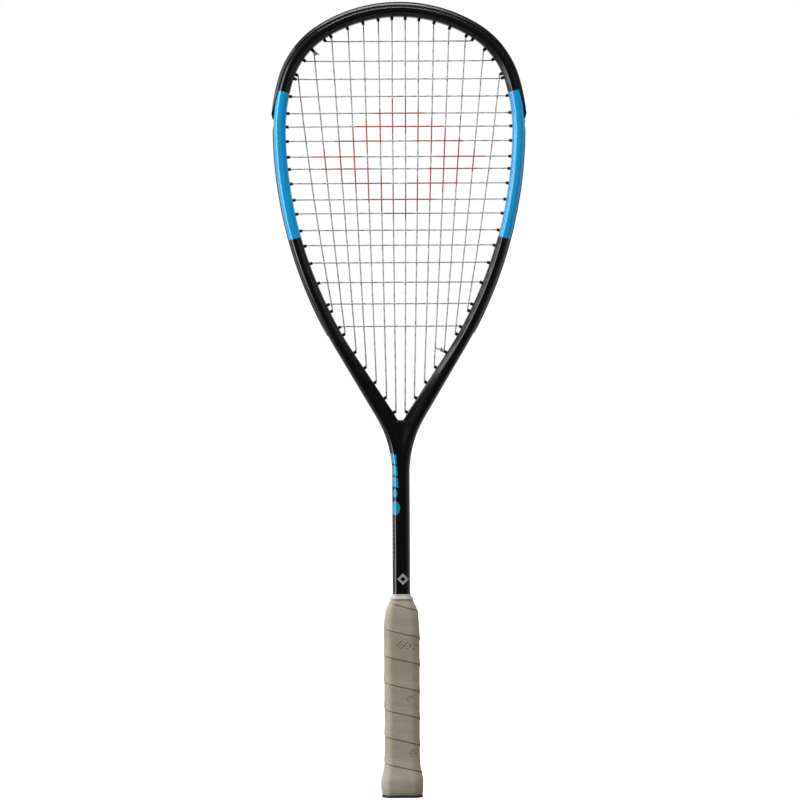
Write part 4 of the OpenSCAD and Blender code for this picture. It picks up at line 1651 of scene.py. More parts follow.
        front.operation = "LESS_THAN"
        front.inputs[1].default_value = 0.0
        slant.operation = "MULTIPLY_ADD"
        slant.inputs[1].default_value = 0.3
        lifted.operation = "SUBTRACT"
        lifted.inputs[1].default_value = 0.2659
        rhythm.operation = "DIVIDE"
        rhythm.inputs[1].default_value = 0.0098
        block_part.operation = "FRACT"
        block.operation = "LESS_THAN"
        block.inputs[1].default_value = 0.86
        above.operation = "GREATER_THAN"
        above.inputs[1].default_value = 0.0
        below.operation = "LESS_THAN"
        below.inputs[1].default_value = 3.0
        edge_line.operation = "MULTIPLY_ADD"
        edge_line.inputs[1].default_value = -0.0737
        edge_line.inputs[2].default_value = 0.0177
        left_of.operation = "LESS_THAN"
        for node in (stack, stack_side, blocks, dash_here, dash_row, diamond_front, blue_front):
            node.operation = "MULTIPLY"
        dot_place.operation = disc_place.operation = diamond_place.operation = "SUBTRACT"
        dot_place.inputs[1].default_value = (-0.0051, 0, 0.2619)
        disc_place.inputs[1].default_value = (-0.0050, 0, 0.2492)
        diamond_place.inputs[1].default_value = (0.0014, 0, 0.1880)
        dot_size.operation = disc_size.operation = "DIVIDE"
        dot_size.inputs[1].default_value = (0.0019, 1, 0.0037)
        disc_size.inputs[1].default_value = (0.0042, 1, 0.0060)
        dot_far.operation = disc_far.operation = "LENGTH"
        dot.operation = "LESS_THAN"
        dot.inputs[1].default_value = 1.0
        disc.operation = "LESS_THAN"
        disc.inputs[1].default_value = 1.0
        dashes.bands_direction = "Z"
        dashes.inputs["Scale"].default_value = 82.0
        dash.operation = "GREATER_THAN"
        dash.inputs[1].default_value = 0.62
        dash_edge.operation = "COMPARE"
        dash_edge.inputs[1].default_value = -0.0069
        dash_edge.inputs[2].default_value = 0.00045
        dash_height.operation = "COMPARE"
        dash_height.inputs[1].default_value = 0.2215
        dash_height.inputs[2].default_value = 0.0175
        faint.operation = "MULTIPLY"
        faint.inputs[1].default_value = 0.45
        diamond_size.operation = "ABSOLUTE"
        diamond_far.operation = "ADD"
        diamond.operation = "COMPARE"
        diamond.inputs[1].default_value = 0.0037
        diamond.inputs[2].default_value = 0.0013
        for node in (with_dot, with_disc, with_dashes):
            node.operation = "MAXIMUM"
        for node, tone in ((blue, (0.003, 0.29, 0.50)), (grey, (0.40, 0.41, 0.42))):
            node.data_type = "RGBA"
            node.inputs[7].default_value = (*tone, 1)

        links.new(spot.outputs["Object"], axes.inputs["Vector"])
        links.new(axes.outputs["Y"], front.inputs[0])
        links.new(axes.outputs["X"], slant.inputs[0])
        links.new(axes.outputs["Z"], slant.inputs[2])
        links.new(slant.outputs["Value"], lifted.inputs[0])
        links.new(lifted.outputs["Value"], rhythm.inputs[0])
        links.new(rhythm.outputs["Value"], block_part.inputs[0])
        links.new(block_part.outputs["Value"], block.inputs[0])
        links.new(rhythm.outputs["Value"], above.inputs[0])
        links.new(rhythm.outputs["Value"], below.inputs[0])
        links.new(axes.outputs["Z"], edge_line.inputs[0])
        links.new(axes.outputs["X"], left_of.inputs[0])
        links.new(edge_line.outputs["Value"], left_of.inputs[1])
        links.new(above.outputs["Value"], stack.inputs[0])
        links.new(below.outputs["Value"], stack.inputs[1])
        links.new(stack.outputs["Value"], stack_side.inputs[0])
        links.new(left_of.outputs["Value"], stack_side.inputs[1])
        links.new(stack_side.outputs["Value"], blocks.inputs[0])
        links.new(block.outputs["Value"], blocks.inputs[1])
        links.new(spot.outputs["Object"], dot_place.inputs[0])
        links.new(dot_place.outputs["Vector"], dot_size.inputs[0])
        links.new(axes.outputs["X"], dash_edge.inputs[0])
        links.new(axes.outputs["Z"], dash_height.inputs[0])
        links.new(spot.outputs["Object"], dashes.inputs["Vector"])
        links.new(dashes.outputs["Fac"], dash.inputs[0])
        links.new(dash_edge.outputs["Value"], dash_here.inputs[0])
        links.new(dash_height.outputs["Value"], dash_here.inputs[1])
        links.new(dash_here.outputs["Value"], dash_row.inputs[0])
        links.new(dash.outputs["Value"], dash_row.inputs[1])
        links.new(dot_size.outputs["Vector"], dot_far.inputs[0])
        links.new(dot_far.outputs["Value"], dot.inputs[0])
        links.new(spot.outputs["Object"], disc_place.inputs[0])
        links.new(disc_place.outputs["Vector"], disc_size.inputs[0])
        links.new(disc_size.outputs["Vector"], disc_far.inputs[0])
        links.new(disc_far.outputs["Value"], disc.inputs[0])
        links.new(spot.outputs["Object"], diamond_place.inputs[0])
        links.new(diamond_place.outputs["Vector"], diamond_size.inputs[0])
        links.new(diamond_size.outputs["Vector"], diamond_axes.inputs["Vector"])
        links.new(diamond_axes.outputs["X"], diamond_far.inputs[0])
        links.new(diamond_axes.outputs["Z"], diamond_far.inputs[1])
        links.new(diamond_far.outputs["Value"], diamond.inputs[0])
        links.new(diamond.outputs["Value"], diamond_front.inputs[0])
        links.new(front.outputs["Value"], diamond_front.inputs[1])
        links.new(blocks.outputs["Value"], with_dot.inputs[0])
        links.new(dot.outputs["Value"], with_dot.inputs[1])
        links.new(with_dot.outputs["Value"], with_disc.inputs[0])
        links.new(disc.outputs["Value"], with_disc.inputs[1])
        links.new(with_disc.outputs["Value"], with_dashes.inputs[0])
        links.new(dash_row.outputs["Value"], faint.inputs[0])
        links.new(faint.outputs["Value"], with_dashes.inputs[1])
        links.new(with_dashes.outputs["Value"], blue_front.inputs[0])
        links.new(front.outputs["Value"], blue_front.inputs[1])
        links.new(blue_front.outputs["Value"], blue.inputs[0])
        links.new(colour.outputs[2], blue.inputs[6])
        links.new(blue.outputs[2], grey.inputs[6])
        links.new(diamond_front.outputs["Value"], grey.inputs[0])
        links.new(grey.outputs[2], paint.inputs["Base Color"])


@dataclass(frozen=True)
class Moulding:
    """Moulded nylon or rubber with a fine grain and paler scuffs on its edges."""

    name: str
    base: tuple[float, float, float]
    scuff: tuple[float, float, float]
    roughness: float
    grain_size: float = 0.0004
    grain_depth: float = 0.00004

    def material(self) -> bpy.types.Material:
        """Mould the plastic.

        Returns:
            A material with grain in its surface and worn, paler edges.
        """
        material, nodes, links = blank_material(self.name)
        spot = nodes.new("ShaderNodeTexCoord")
        spot.label = "Place on the racket"
        out = nodes.new("ShaderNodeOutputMaterial")
        out.label = "Moulded surface"
        plastic = nodes.new("ShaderNodeBsdfPrincipled")
        plastic.label = "Moulded plastic"

        edge = nodes.new("ShaderNodeNewGeometry")
        edge.label = "How sharply the surface turns"
        worn = nodes.new("ShaderNodeMapRange")
        worn.label = "Edges that rub"
        patch = nodes.new("ShaderNodeTexNoise")
        patch.label = "Where it has rubbed"
        rubbed = nodes.new("ShaderNodeMath")
        rubbed.label = "Rubbed edges"
        tone = nodes.new("ShaderNodeMix")
        tone.label = "Plain and scuffed plastic"
        wear_group = nodes.new("NodeFrame")
        wear_group.label = "Wear along the edges"

        grain = nodes.new("ShaderNodeTexNoise")
        grain.label = "Spark-eroded grain"
        grain_bump = nodes.new("ShaderNodeBump")
        grain_bump.label = "Grain of the surface"
        dull = nodes.new("ShaderNodeMapRange")
        dull.label = "Shine between grain and hollows"
        grain_group = nodes.new("NodeFrame")
        grain_group.label = "Grain"

        for node in (edge, worn, patch, rubbed, tone):
            node.parent = wear_group
        for node in (grain, grain_bump, dull):
            node.parent = grain_group
        layout = {
            spot: (-1300, 0), edge: (-1100, 320), worn: (-900, 320), patch: (-1100, 100), rubbed: (-700, 240),
            tone: (-500, 240), grain: (-1100, -180), grain_bump: (-700, -300), dull: (-700, -120),
            plastic: (-160, 60), out: (140, 60),
        }
        for node, where in layout.items():
            node.location = where

        worn.inputs["From Min"].default_value = 0.54
        worn.inputs["From Max"].default_value = 0.66
        patch.inputs["Scale"].default_value = 160.0
        patch.inputs["Detail"].default_value = 5.0
        rubbed.operation = "MULTIPLY"
        tone.data_type = "RGBA"
        tone.inputs[6].default_value = (*self.base, 1)
        tone.inputs[7].default_value = (*self.scuff, 1)
        grain.inputs["Scale"].default_value = 1 / self.grain_size
        grain.inputs["Detail"].default_value = 3.0
        grain_bump.inputs["Strength"].default_value = 0.35
        grain_bump.inputs["Distance"].default_value = self.grain_depth
        dull.inputs["To Min"].default_value = self.roughness - 0.07
        dull.inputs["To Max"].default_value = self.roughness + 0.07

        links.new(edge.outputs["Pointiness"], worn.inputs["Value"])
        links.new(spot.outputs["Object"], patch.inputs["Vector"])
        links.new(worn.outputs["Result"], rubbed.inputs[0])
        links.new(patch.outputs["Fac"], rubbed.inputs[1])
        links.new(rubbed.outputs["Value"], tone.inputs[0])
        links.new(tone.outputs[2], plastic.inputs["Base Color"])
        links.new(spot.outputs["Object"], grain.inputs["Vector"])
        links.new(grain.outputs["Fac"], grain_bump.inputs["Height"])
        links.new(grain.outputs["Fac"], dull.inputs["Value"])
        links.new(dull.outputs["Result"], plastic.inputs["Roughness"])
        links.new(grain_bump.outputs["Normal"], plastic.inputs["Normal"])
        links.new(plastic.outputs["BSDF"], out.inputs["Surface"])
        return material


@dataclass(frozen=True)
class Multifilament:
    """Coated string of many thin filaments, with a plain diamond inked on the bed."""

    name: str
    base: tuple[float, float, float] = (0.52, 0.53, 0.55)
    fleck: tuple[float, float, float] = (0.17, 0.17, 0.18)
    ink: tuple[float, float, float] = (0.48, 0.001, 0.010)
    lay_length: float = 0.0105
    filaments: float = 7.0
    ink_middle: tuple[float, float, float] = (0.0, 0.0, 0.5500)
    ink_half: tuple[float, float, float] = (0.078, 1.0, 0.0560)
    ink_start: float = 0.46
    roughness: float = 0.32

    def material(self) -> bpy.types.Material:
        """Twist and coat the string.

        Returns:
            A pale glossy string with spiral filaments, dark flecks and the inked diamond.
        """
        material, nodes, links = blank_material(self.name)
        spot = nodes.new("ShaderNodeTexCoord")
        spot.label = "Place on the racket"
        lay = nodes.new("ShaderNodeUVMap")
        lay.label = "Along and around the string"
        out = nodes.new("ShaderNodeOutputMaterial")
        out.label = "Coated string"
        coat = nodes.new("ShaderNodeBsdfPrincipled")
        coat.label = "Coating over filaments"

        parts = nodes.new("ShaderNodeSeparateXYZ")
        parts.label = "Length and turn"
        twist = nodes.new("ShaderNodeMath")
        twist.label = "Length in turns of the lay"
        spiral = nodes.new("ShaderNodeMath")
        spiral.label = "Spiral round the string"
        wound = nodes.new("ShaderNodeMath")
        wound.label = "Filaments side by side"
        ridge = nodes.new("ShaderNodeMath")
        ridge.label = "Ridge of each filament"
        ridge_bump = nodes.new("ShaderNodeBump")
        ridge_bump.label = "Filaments under the coating"
        lay_group = nodes.new("NodeFrame")
        lay_group.label = "Lay of the filaments"

        tracer = nodes.new("ShaderNodeMath")
        tracer.label = "One dark tracer filament"
        tracer_part = nodes.new("ShaderNodeMath")
        tracer_part.label = "Width of the tracer"
        broken = nodes.new("ShaderNodeTexNoise")
        broken.label = "Where the tracer shows"
        shows = nodes.new("ShaderNodeMath")
        shows.label = "Flecks of the tracer"
        fleck_share = nodes.new("ShaderNodeMath")
        fleck_share.label = "Dark flecks"
        flecked = nodes.new("ShaderNodeMix")
        flecked.label = "Pale string with dark flecks"
        fleck_group = nodes.new("NodeFrame")
        fleck_group.label = "Flecks"

        ink_place = nodes.new("ShaderNodeVectorMath")
        ink_place.label = "From the middle of the diamond"
        ink_size = nodes.new("ShaderNodeVectorMath")
        ink_size.label = "In half sizes of the diamond"
        ink_plain = nodes.new("ShaderNodeVectorMath")
        ink_plain.label = "Sizes without sign"
        ink_axes = nodes.new("ShaderNodeSeparateXYZ")
        ink_axes.label = "Across and up from its middle"
        ink_far = nodes.new("ShaderNodeMath")
        ink_far.label = "Distance counted along both axes"
        ink_band = nodes.new("ShaderNodeMath")
        ink_band.label = "Between the inner and outer diamond"
        soak = nodes.new("ShaderNodeTexNoise")
        soak.label = "Uneven ink"
        soak_range = nodes.new("ShaderNodeMapRange")
        soak_range.label = "Thin and thick ink"
        ink_share = nodes.new("ShaderNodeMath")
        ink_share.label = "Ink on the string"
        inked = nodes.new("ShaderNodeMix")
        inked.label = "Inked string"
        ink_group = nodes.new("NodeFrame")
        ink_group.label = "Inked diamond"

        groups = {
            lay_group: (lay, parts, twist, spiral, wound, ridge, ridge_bump),
            fleck_group: (tracer, tracer_part, broken, shows, fleck_share, flecked),
            ink_group: (
                ink_place, ink_size, ink_plain, ink_axes, ink_far, ink_band, soak, soak_range,
                ink_share, inked,
            ),
        }
        for row, (group, members) in enumerate(groups.items()):
            for column, node in enumerate(members):
                node.parent = group
                node.location = (-2300 + 190 * column, 700 - 340 * row)
        spot.location = (-2600, 0)
        coat.location = (-160, 60)
        out.location = (140, 60)

        lay.uv_map = LAY
        twist.operation = "DIVIDE"
        twist.inputs[1].default_value = self.lay_length
        spiral.operation = "ADD"
        wound.operation = "MULTIPLY"
        wound.inputs[1].default_value = self.filaments * 2 * math.pi
        ridge.operation = "SINE"
        ridge_bump.inputs["Strength"].default_value = 0.5
        ridge_bump.inputs["Distance"].default_value = 0.00006
        tracer.operation = "FRACT"
        tracer_part.operation = "LESS_THAN"
        tracer_part.inputs[1].default_value = 0.22
        broken.inputs["Scale"].default_value = 240.0
        broken.inputs["Detail"].default_value = 1.0
        shows.operation = "GREATER_THAN"
        shows.inputs[1].default_value = 0.47
        fleck_share.operation = "MULTIPLY"
        flecked.data_type = "RGBA"
        flecked.inputs[6].default_value = (*self.base, 1)
        flecked.inputs[7].default_value = (*self.fleck, 1)
        ink_place.operation = "SUBTRACT"
        ink_place.inputs[1].default_value = self.ink_middle
        ink_size.operation = "DIVIDE"
        ink_size.inputs[1].default_value = self.ink_half
        ink_plain.operation = "ABSOLUTE"
        ink_far.operation = "ADD"
        ink_band.operation = "COMPARE"
        ink_band.inputs[1].default_value = (1 + self.ink_start) / 2
        ink_band.inputs[2].default_value = (1 - self.ink_start) / 2
        soak.inputs["Scale"].default_value = 300.0
        soak_range.inputs["To Min"].default_value = 0.72
        soak_range.inputs["To Max"].default_value = 1.0
        ink_share.operation = "MULTIPLY"
        inked.data_type = "RGBA"
        inked.inputs[7].default_value = (*self.ink, 1)
        coat.inputs["Roughness"].default_value = self.roughness
        coat.inputs["Coat Weight"].default_value = 0.3

        links.new(lay.outputs["UV"], parts.inputs["Vector"])
        links.new(parts.outputs["X"], twist.inputs[0])
        links.new(twist.outputs["Value"], spiral.inputs[0])
        links.new(parts.outputs["Y"], spiral.inputs[1])
        links.new(spiral.outputs["Value"], wound.inputs[0])
        links.new(wound.outputs["Value"], ridge.inputs[0])
        links.new(ridge.outputs["Value"], ridge_bump.inputs["Height"])
        links.new(ridge_bump.outputs["Normal"], coat.inputs["Normal"])
        links.new(spiral.outputs["Value"], tracer.inputs[0])
        links.new(tracer.outputs["Value"], tracer_part.inputs[0])
        links.new(spot.outputs["Object"], broken.inputs["Vector"])
        links.new(broken.outputs["Fac"], shows.inputs[0])
        links.new(tracer_part.outputs["Value"], fleck_share.inputs[0])
        links.new(shows.outputs["Value"], fleck_share.inputs[1])
        links.new(fleck_share.outputs["Value"], flecked.inputs[0])
        links.new(spot.outputs["Object"], ink_place.inputs[0])
        links.new(ink_place.outputs["Vector"], ink_size.inputs[0])
        links.new(ink_size.outputs["Vector"], ink_plain.inputs[0])
        links.new(ink_plain.outputs["Vector"], ink_axes.inputs["Vector"])
        links.new(ink_axes.outputs["X"], ink_far.inputs[0])
        links.new(ink_axes.outputs["Z"], ink_far.inputs[1])
        links.new(ink_far.outputs["Value"], ink_band.inputs[0])
        links.new(spot.outputs["Object"], soak.inputs["Vector"])
        links.new(soak.outputs["Fac"], soak_range.inputs["Value"])
        links.new(ink_band.outputs["Value"], ink_share.inputs[0])
        links.new(soak_range.outputs["Result"], ink_share.inputs[1])
        links.new(flecked.outputs[2], inked.inputs[6])
        links.new(ink_share.outputs["Value"], inked.inputs[0])
        links.new(inked.outputs[2], coat.inputs["Base Color"])
        links.new(coat.outputs["BSDF"], out.inputs["Surface"])
        return material


@dataclass(frozen=True)
class Leather:
    """Soft grip tape with pores, creases, handling stains and painted shade in its seams."""

    name: str
    base: tuple[float, float, float]
    worn: tuple[float, float, float]
    roughness: float
    pore_scale: float = 1500.0
    pore_depth: float = 0.00009

    def material(self) -> bpy.types.Material:
        """Dye and wear the tape.

        Returns:
            A matt tape whose tone shifts with handling, darkened by painted shade in the hollows of its
            seams, and whose surface is full of fine pores.
        """
        material, nodes, links = blank_material(self.name)
        spot = nodes.new("ShaderNodeTexCoord")
        spot.label = "Place on the racket"
        out = nodes.new("ShaderNodeOutputMaterial")
        out.label = "Grip surface"
        leather = nodes.new("ShaderNodeBsdfPrincipled")
        leather.label = "Soft tape"

        stain = nodes.new("ShaderNodeTexNoise")
        stain.label = "Broad stains from the hand"
        stain_range = nodes.new("ShaderNodeMapRange")
        stain_range.label = "Clean and stained parts"
        stained = nodes.new("ShaderNodeMix")
        stained.label = "Tape and stains"
        mottle = nodes.new("ShaderNodeTexNoise")
        mottle.label = "Fine mottling"
        mottle_range = nodes.new("ShaderNodeMapRange")
        mottle_range.label = "Strength of the mottling"
        mottled = nodes.new("ShaderNodeMix")
        mottled.label = "Mottled tape"
        stain_group = nodes.new("NodeFrame")
        stain_group.label = "Dye and handling"

        # Painted shade: the hollows of the seams are darkened almost to black, standing in for the shade that
        # falls there.
        edge = nodes.new("ShaderNodeNewGeometry")
        edge.label = "Hollows and edges"
        hollow = nodes.new("ShaderNodeMapRange")
        hollow.label = "Depth of the seams"
        painted_seam_shade = nodes.new("ShaderNodeMix")
        painted_seam_shade.label = "Painted shade in the seams"
        seam_group = nodes.new("NodeFrame")
        seam_group.label = "Seams"

        pores = nodes.new("ShaderNodeTexVoronoi")
        pores.label = "Pores"
        crease = nodes.new("ShaderNodeTexNoise")
        crease.label = "Creases"
        height = nodes.new("ShaderNodeMath")
        height.label = "Pores and creases together"
        bump = nodes.new("ShaderNodeBump")
        bump.label = "Surface of the tape"
        pore_group = nodes.new("NodeFrame")
        pore_group.label = "Pores and creases"

        for node in (stain, stain_range, stained, mottle, mottle_range, mottled):
            node.parent = stain_group
        for node in (edge, hollow, painted_seam_shade):
            node.parent = seam_group
        for node in (pores, crease, height, bump):
            node.parent = pore_group
        layout = {
            spot: (-1700, 0), stain: (-1450, 400), stain_range: (-1250, 400), stained: (-1050, 400),
            mottle: (-1250, 160), mottle_range: (-1050, 160), mottled: (-850, 320), edge: (-1050, -80),
            hollow: (-850, -20), painted_seam_shade: (-600, 240), pores: (-1250, -320), crease: (-1250, -560),
            height: (-1000, -400), bump: (-800, -400), leather: (-160, 60), out: (140, 60),
        }
        for node, where in layout.items():
            node.location = where

        stain.inputs["Scale"].default_value = 42.0
        stain.inputs["Detail"].default_value = 4.0
        stain_range.inputs["From Min"].default_value = 0.40
        stain_range.inputs["From Max"].default_value = 0.66
        stained.data_type = "RGBA"
        stained.inputs[6].default_value = (*self.base, 1)
        stained.inputs[7].default_value = (*self.worn, 1)
        mottle.inputs["Scale"].default_value = 620.0
        mottle.inputs["Detail"].default_value = 3.0
        mottle_range.inputs["To Max"].default_value = 0.30
        mottled.data_type = "RGBA"
        mottled.blend_type = "MULTIPLY"
        mottled.inputs[7].default_value = (0.66, 0.63, 0.60, 1)
        hollow.inputs["From Min"].default_value = 0.40
        hollow.inputs["From Max"].default_value = 0.49
        hollow.inputs["To Min"].default_value = 1.0
        hollow.inputs["To Max"].default_value = 0.0
        # Near-black colour painted into the seams as their shade.
        painted_seam_shade.data_type = "RGBA"
        painted_seam_shade.inputs[7].default_value = (0.045, 0.038, 0.032, 1)
        pores.inputs["Scale"].default_value = self.pore_scale
        crease.inputs["Scale"].default_value = 300.0
        crease.inputs["Detail"].default_value = 4.0
        height.operation = "MULTIPLY_ADD"
        height.inputs[1].default_value = 0.6
        bump.inputs["Strength"].default_value = 0.7
        bump.inputs["Distance"].default_value = self.pore_depth
        leather.inputs["Roughness"].default_value = self.roughness
        leather.inputs["Specular IOR Level"].default_value = 0.3

        links.new(spot.outputs["Object"], stain.inputs["Vector"])
        links.new(stain.outputs["Fac"], stain_range.inputs["Value"])
        links.new(stain_range.outputs["Result"], stained.inputs[0])
        links.new(spot.outputs["Object"], mottle.inputs["Vector"])
        links.new(mottle.outputs["Fac"], mottle_range.inputs["Value"])
        links.new(mottle_range.outputs["Result"], mottled.inputs[0])
        links.new(stained.outputs[2], mottled.inputs[6])
        links.new(edge.outputs["Pointiness"], hollow.inputs["Value"])
        links.new(hollow.outputs["Result"], painted_seam_shade.inputs[0])
        links.new(mottled.outputs[2], painted_seam_shade.inputs[6])
        links.new(painted_seam_shade.outputs[2], leather.inputs["Base Color"])
        links.new(spot.outputs["Object"], pores.inputs["Vector"])
        links.new(spot.outputs["Object"], crease.inputs["Vector"])
        links.new(pores.outputs["Distance"], height.inputs[0])
        links.new(crease.outputs["Fac"], height.inputs[2])
        links.new(height.outputs["Value"], bump.inputs["Height"])
        links.new(bump.outputs["Normal"], leather.inputs["Normal"])
        links.new(leather.outputs["BSDF"], out.inputs["Surface"])
        return material


@dataclass(frozen=True)
class BrushedMetal:
    """Drawn steel wire with fine lines and a few dull spots."""

    name: str
    base: tuple[float, float, float] = (0.62, 0.62, 0.60)

    def material(self) -> bpy.types.Material:
        """Draw the wire.

        Returns:
            Steel with drawing lines along it and dull spots.
        """
        material, nodes, links = blank_material(self.name)
        spot = nodes.new("ShaderNodeTexCoord")
        spot.label = "Place on the racket"
        stretch = nodes.new("ShaderNodeMapping")
        stretch.label = "Stretched along the handle"
        lines = nodes.new("ShaderNodeTexNoise")
        lines.label = "Drawing lines"
        spots = nodes.new("ShaderNodeTexNoise")
        spots.label = "Dull spots"
        tone = nodes.new("ShaderNodeMix")
        tone.label = "Bright and dull steel"
        shine = nodes.new("ShaderNodeMapRange")
        shine.label = "Shine of the wire"
        bump = nodes.new("ShaderNodeBump")
        bump.label = "Depth of the lines"
        steel = nodes.new("ShaderNodeBsdfPrincipled")
        steel.label = "Steel"
        out = nodes.new("ShaderNodeOutputMaterial")
        out.label = "Staple wire"
        line_group = nodes.new("NodeFrame")
        line_group.label = "Drawing lines and spots"

        for node in (stretch, lines, spots, tone, shine, bump):
            node.parent = line_group
        layout = {
            spot: (-1200, 0), stretch: (-1000, 100), lines: (-800, 100), spots: (-800, -160),
            tone: (-560, 200),
            shine: (-560, -20), bump: (-560, -260), steel: (-200, 60), out: (100, 60),
        }
        for node, where in layout.items():
            node.location = where

        stretch.inputs["Scale"].default_value = (1.0, 1.0, 0.06)
        lines.inputs["Scale"].default_value = 5200.0
        spots.inputs["Scale"].default_value = 700.0
        spots.inputs["Detail"].default_value = 3.0
        tone.data_type = "RGBA"
        tone.inputs[6].default_value = (*(0.45 * c for c in self.base), 1)
        tone.inputs[7].default_value = (*self.base, 1)
        shine.inputs["To Min"].default_value = 0.20
        shine.inputs["To Max"].default_value = 0.46
        bump.inputs["Strength"].default_value = 0.3
        bump.inputs["Distance"].default_value = 0.00002
        steel.inputs["Metallic"].default_value = 1.0

        links.new(spot.outputs["Object"], stretch.inputs["Vector"])
        links.new(stretch.outputs["Vector"], lines.inputs["Vector"])
        links.new(spot.outputs["Object"], spots.inputs["Vector"])
        links.new(spots.outputs["Fac"], tone.inputs[0])
        links.new(tone.outputs[2], steel.inputs["Base Color"])
        links.new(spots.outputs["Fac"], shine.inputs["Value"])
        links.new(shine.outputs["Result"], steel.inputs["Roughness"])
        links.new(lines.outputs["Fac"], bump.inputs["Height"])
        links.new(bump.outputs["Normal"], steel.inputs["Normal"])
        links.new(steel.outputs["BSDF"], out.inputs["Surface"])
        return material


@dataclass
class Studio:
    """White table top, soft lights and the camera in front of the racket."""

    middle: Vector
    racket_length: float
    distance: float = 3.2
    margin: float = 1.007
    lean: float = math.radians(0.30)
    aim: Vector = field(default_factory=lambda: Vector((-0.0004, 0, -0.0007)))

    def table_finish(self) -> bpy.types.Material:
        """Matt white table top with barely visible mottling."""
        material, nodes, links = blank_material("table_top_white")
        spot = nodes.new("ShaderNodeTexCoord")
        spot.label = "Place on the table"
        mottle = nodes.new("ShaderNodeTexNoise")
        mottle.label = "Faint mottling"
        tone = nodes.new("ShaderNodeMix")
        tone.label = "White and off-white"
        card = nodes.new("ShaderNodeBsdfPrincipled")
        card.label = "Matt table top"
        out = nodes.new("ShaderNodeOutputMaterial")
        out.label = "Table top"
        layout = {spot: (-900, 0), mottle: (-700, 0), tone: (-480, 0), card: (-240, 0), out: (60, 0)}
        for node, where in layout.items():
            node.location = where

        mottle.inputs["Scale"].default_value = 9.0
        tone.data_type = "RGBA"
        tone.inputs[6].default_value = (0.97, 0.97, 0.97, 1)
        tone.inputs[7].default_value = (0.99, 0.99, 0.99, 1)
        card.inputs["Roughness"].default_value = 0.8
        card.inputs["Emission Strength"].default_value = 1.0

        links.new(spot.outputs["Object"], mottle.inputs["Vector"])
        links.new(mottle.outputs["Fac"], tone.inputs[0])
        links.new(tone.outputs[2], card.inputs["Base Color"])
        links.new(tone.outputs[2], card.inputs["Emission Color"])
        links.new(card.outputs["BSDF"], out.inputs["Surface"])
        return material

    def table(self, low: float) -> None:
        """Lay the table top under the racket.

        Args:
            low: Height of the table top.
        """
        near, far, half = -0.9, 40.0, 30.0
        mesh = bmesh.new()
        outline = (-half, near), (half, near), (half, far), (-half, far)
        corners = [mesh.verts.new((x, y, low)) for x, y in outline]
        mesh.faces.new(corners)
        data = bpy.data.meshes.new("table_top")
        mesh.to_mesh(data)
        mesh.free()
        data.materials.append(self.table_finish())
        top = bpy.data.objects.new("table_top", data)
        top.visible_glossy = False
        top.visible_diffuse = False
        bpy.context.scene.collection.objects.link(top)
        top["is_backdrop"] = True

    def light(
        self, name: str, where: Vector, target: Vector, size: tuple[float, float], power: float
    ) -> None:
        """Hang one soft light.

        Args:
            name: Name of the light.
            where: Place of the light.
            target: Point the light faces.
            size: Width and height of its panel.
            power: Strength in watts.
        """
        data = bpy.data.lights.new(name, "AREA")
        data.shape = "RECTANGLE"
        data.size, data.size_y = size
        data.energy = power
        lamp = bpy.data.objects.new(name, data)
        lamp.location = where
        lamp.rotation_euler = (target - where).to_track_quat("-Z", "Y").to_euler()
        bpy.context.scene.collection.objects.link(lamp)

    def lights(self) -> None:
        """Hang the key, fill and top lights round the racket."""
        m = self.middle
        self.light("key_panel", m + Vector((-1.90, -0.20, 0.30)), m, (1.6, 1.9), 48.0)
        self.light("fill_panel", m + Vector((1.9, -0.75, 0.1)), m, (0.5, 1.8), 3.0)
        self.light("top_panel", m + Vector((-0.2, -0.7, 1.7)), m + Vector((0, 0, 0.2)), (1.4, 0.3), 24.0)

    def surroundings(self) -> None:
        """Light matt surfaces evenly, keep the room in front dark for gloss, and show white behind."""
        world = bpy.data.worlds.new("white_room")
        bpy.context.scene.world = world
        world.use_nodes = True
        nodes, links = world.node_tree.nodes, world.node_tree.links
        nodes.clear()
        ray = nodes.new("ShaderNodeLightPath")
        ray.label = "What the ray is for"
        backdrop = nodes.new("ShaderNodeBackground")
        backdrop.label = "White behind the racket"
        room = nodes.new("ShaderNodeBackground")
        room.label = "Dim room around it"
        spot = nodes.new("ShaderNodeTexCoord")
        spot.label = "Direction"
        axes = nodes.new("ShaderNodeSeparateXYZ")
        axes.label = "Sideways, forward, up"
        forward = nodes.new("ShaderNodeMapRange")
        forward.label = "From behind the camera to behind the racket"
        chosen = nodes.new("ShaderNodeMixShader")
        chosen.label = "Backdrop for the camera, room for the rest"
        out = nodes.new("ShaderNodeOutputWorld")
        out.label = "Surroundings"
        soft = nodes.new("ShaderNodeBackground")
        soft.label = "Even light on matt surfaces"
        matt = nodes.new("ShaderNodeMixShader")
        matt.label = "Even light for matt surfaces, dark room for gloss"
        layout = {
            ray: (-800, 300), spot: (-1100, -100), axes: (-900, -100), forward: (-700, -100),
            backdrop: (-400, 80),
            room: (-400, -100), soft: (-400, -260), matt: (-180, -100), chosen: (60, 100), out: (260, 100),
        }
        for node, where in layout.items():
            node.location = where

        backdrop.inputs["Color"].default_value = (1, 1, 1, 1)
        backdrop.inputs["Strength"].default_value = 1.0
        room.inputs["Color"].default_value = (1, 1, 1, 1)
        soft.inputs["Color"].default_value = (1, 1, 1, 1)
        soft.inputs["Strength"].default_value = 0.31
        forward.inputs["From Min"].default_value = 0.35
        forward.inputs["From Max"].default_value = 0.95
        forward.inputs["To Min"].default_value = 0.02
        forward.inputs["To Max"].default_value = 1.0

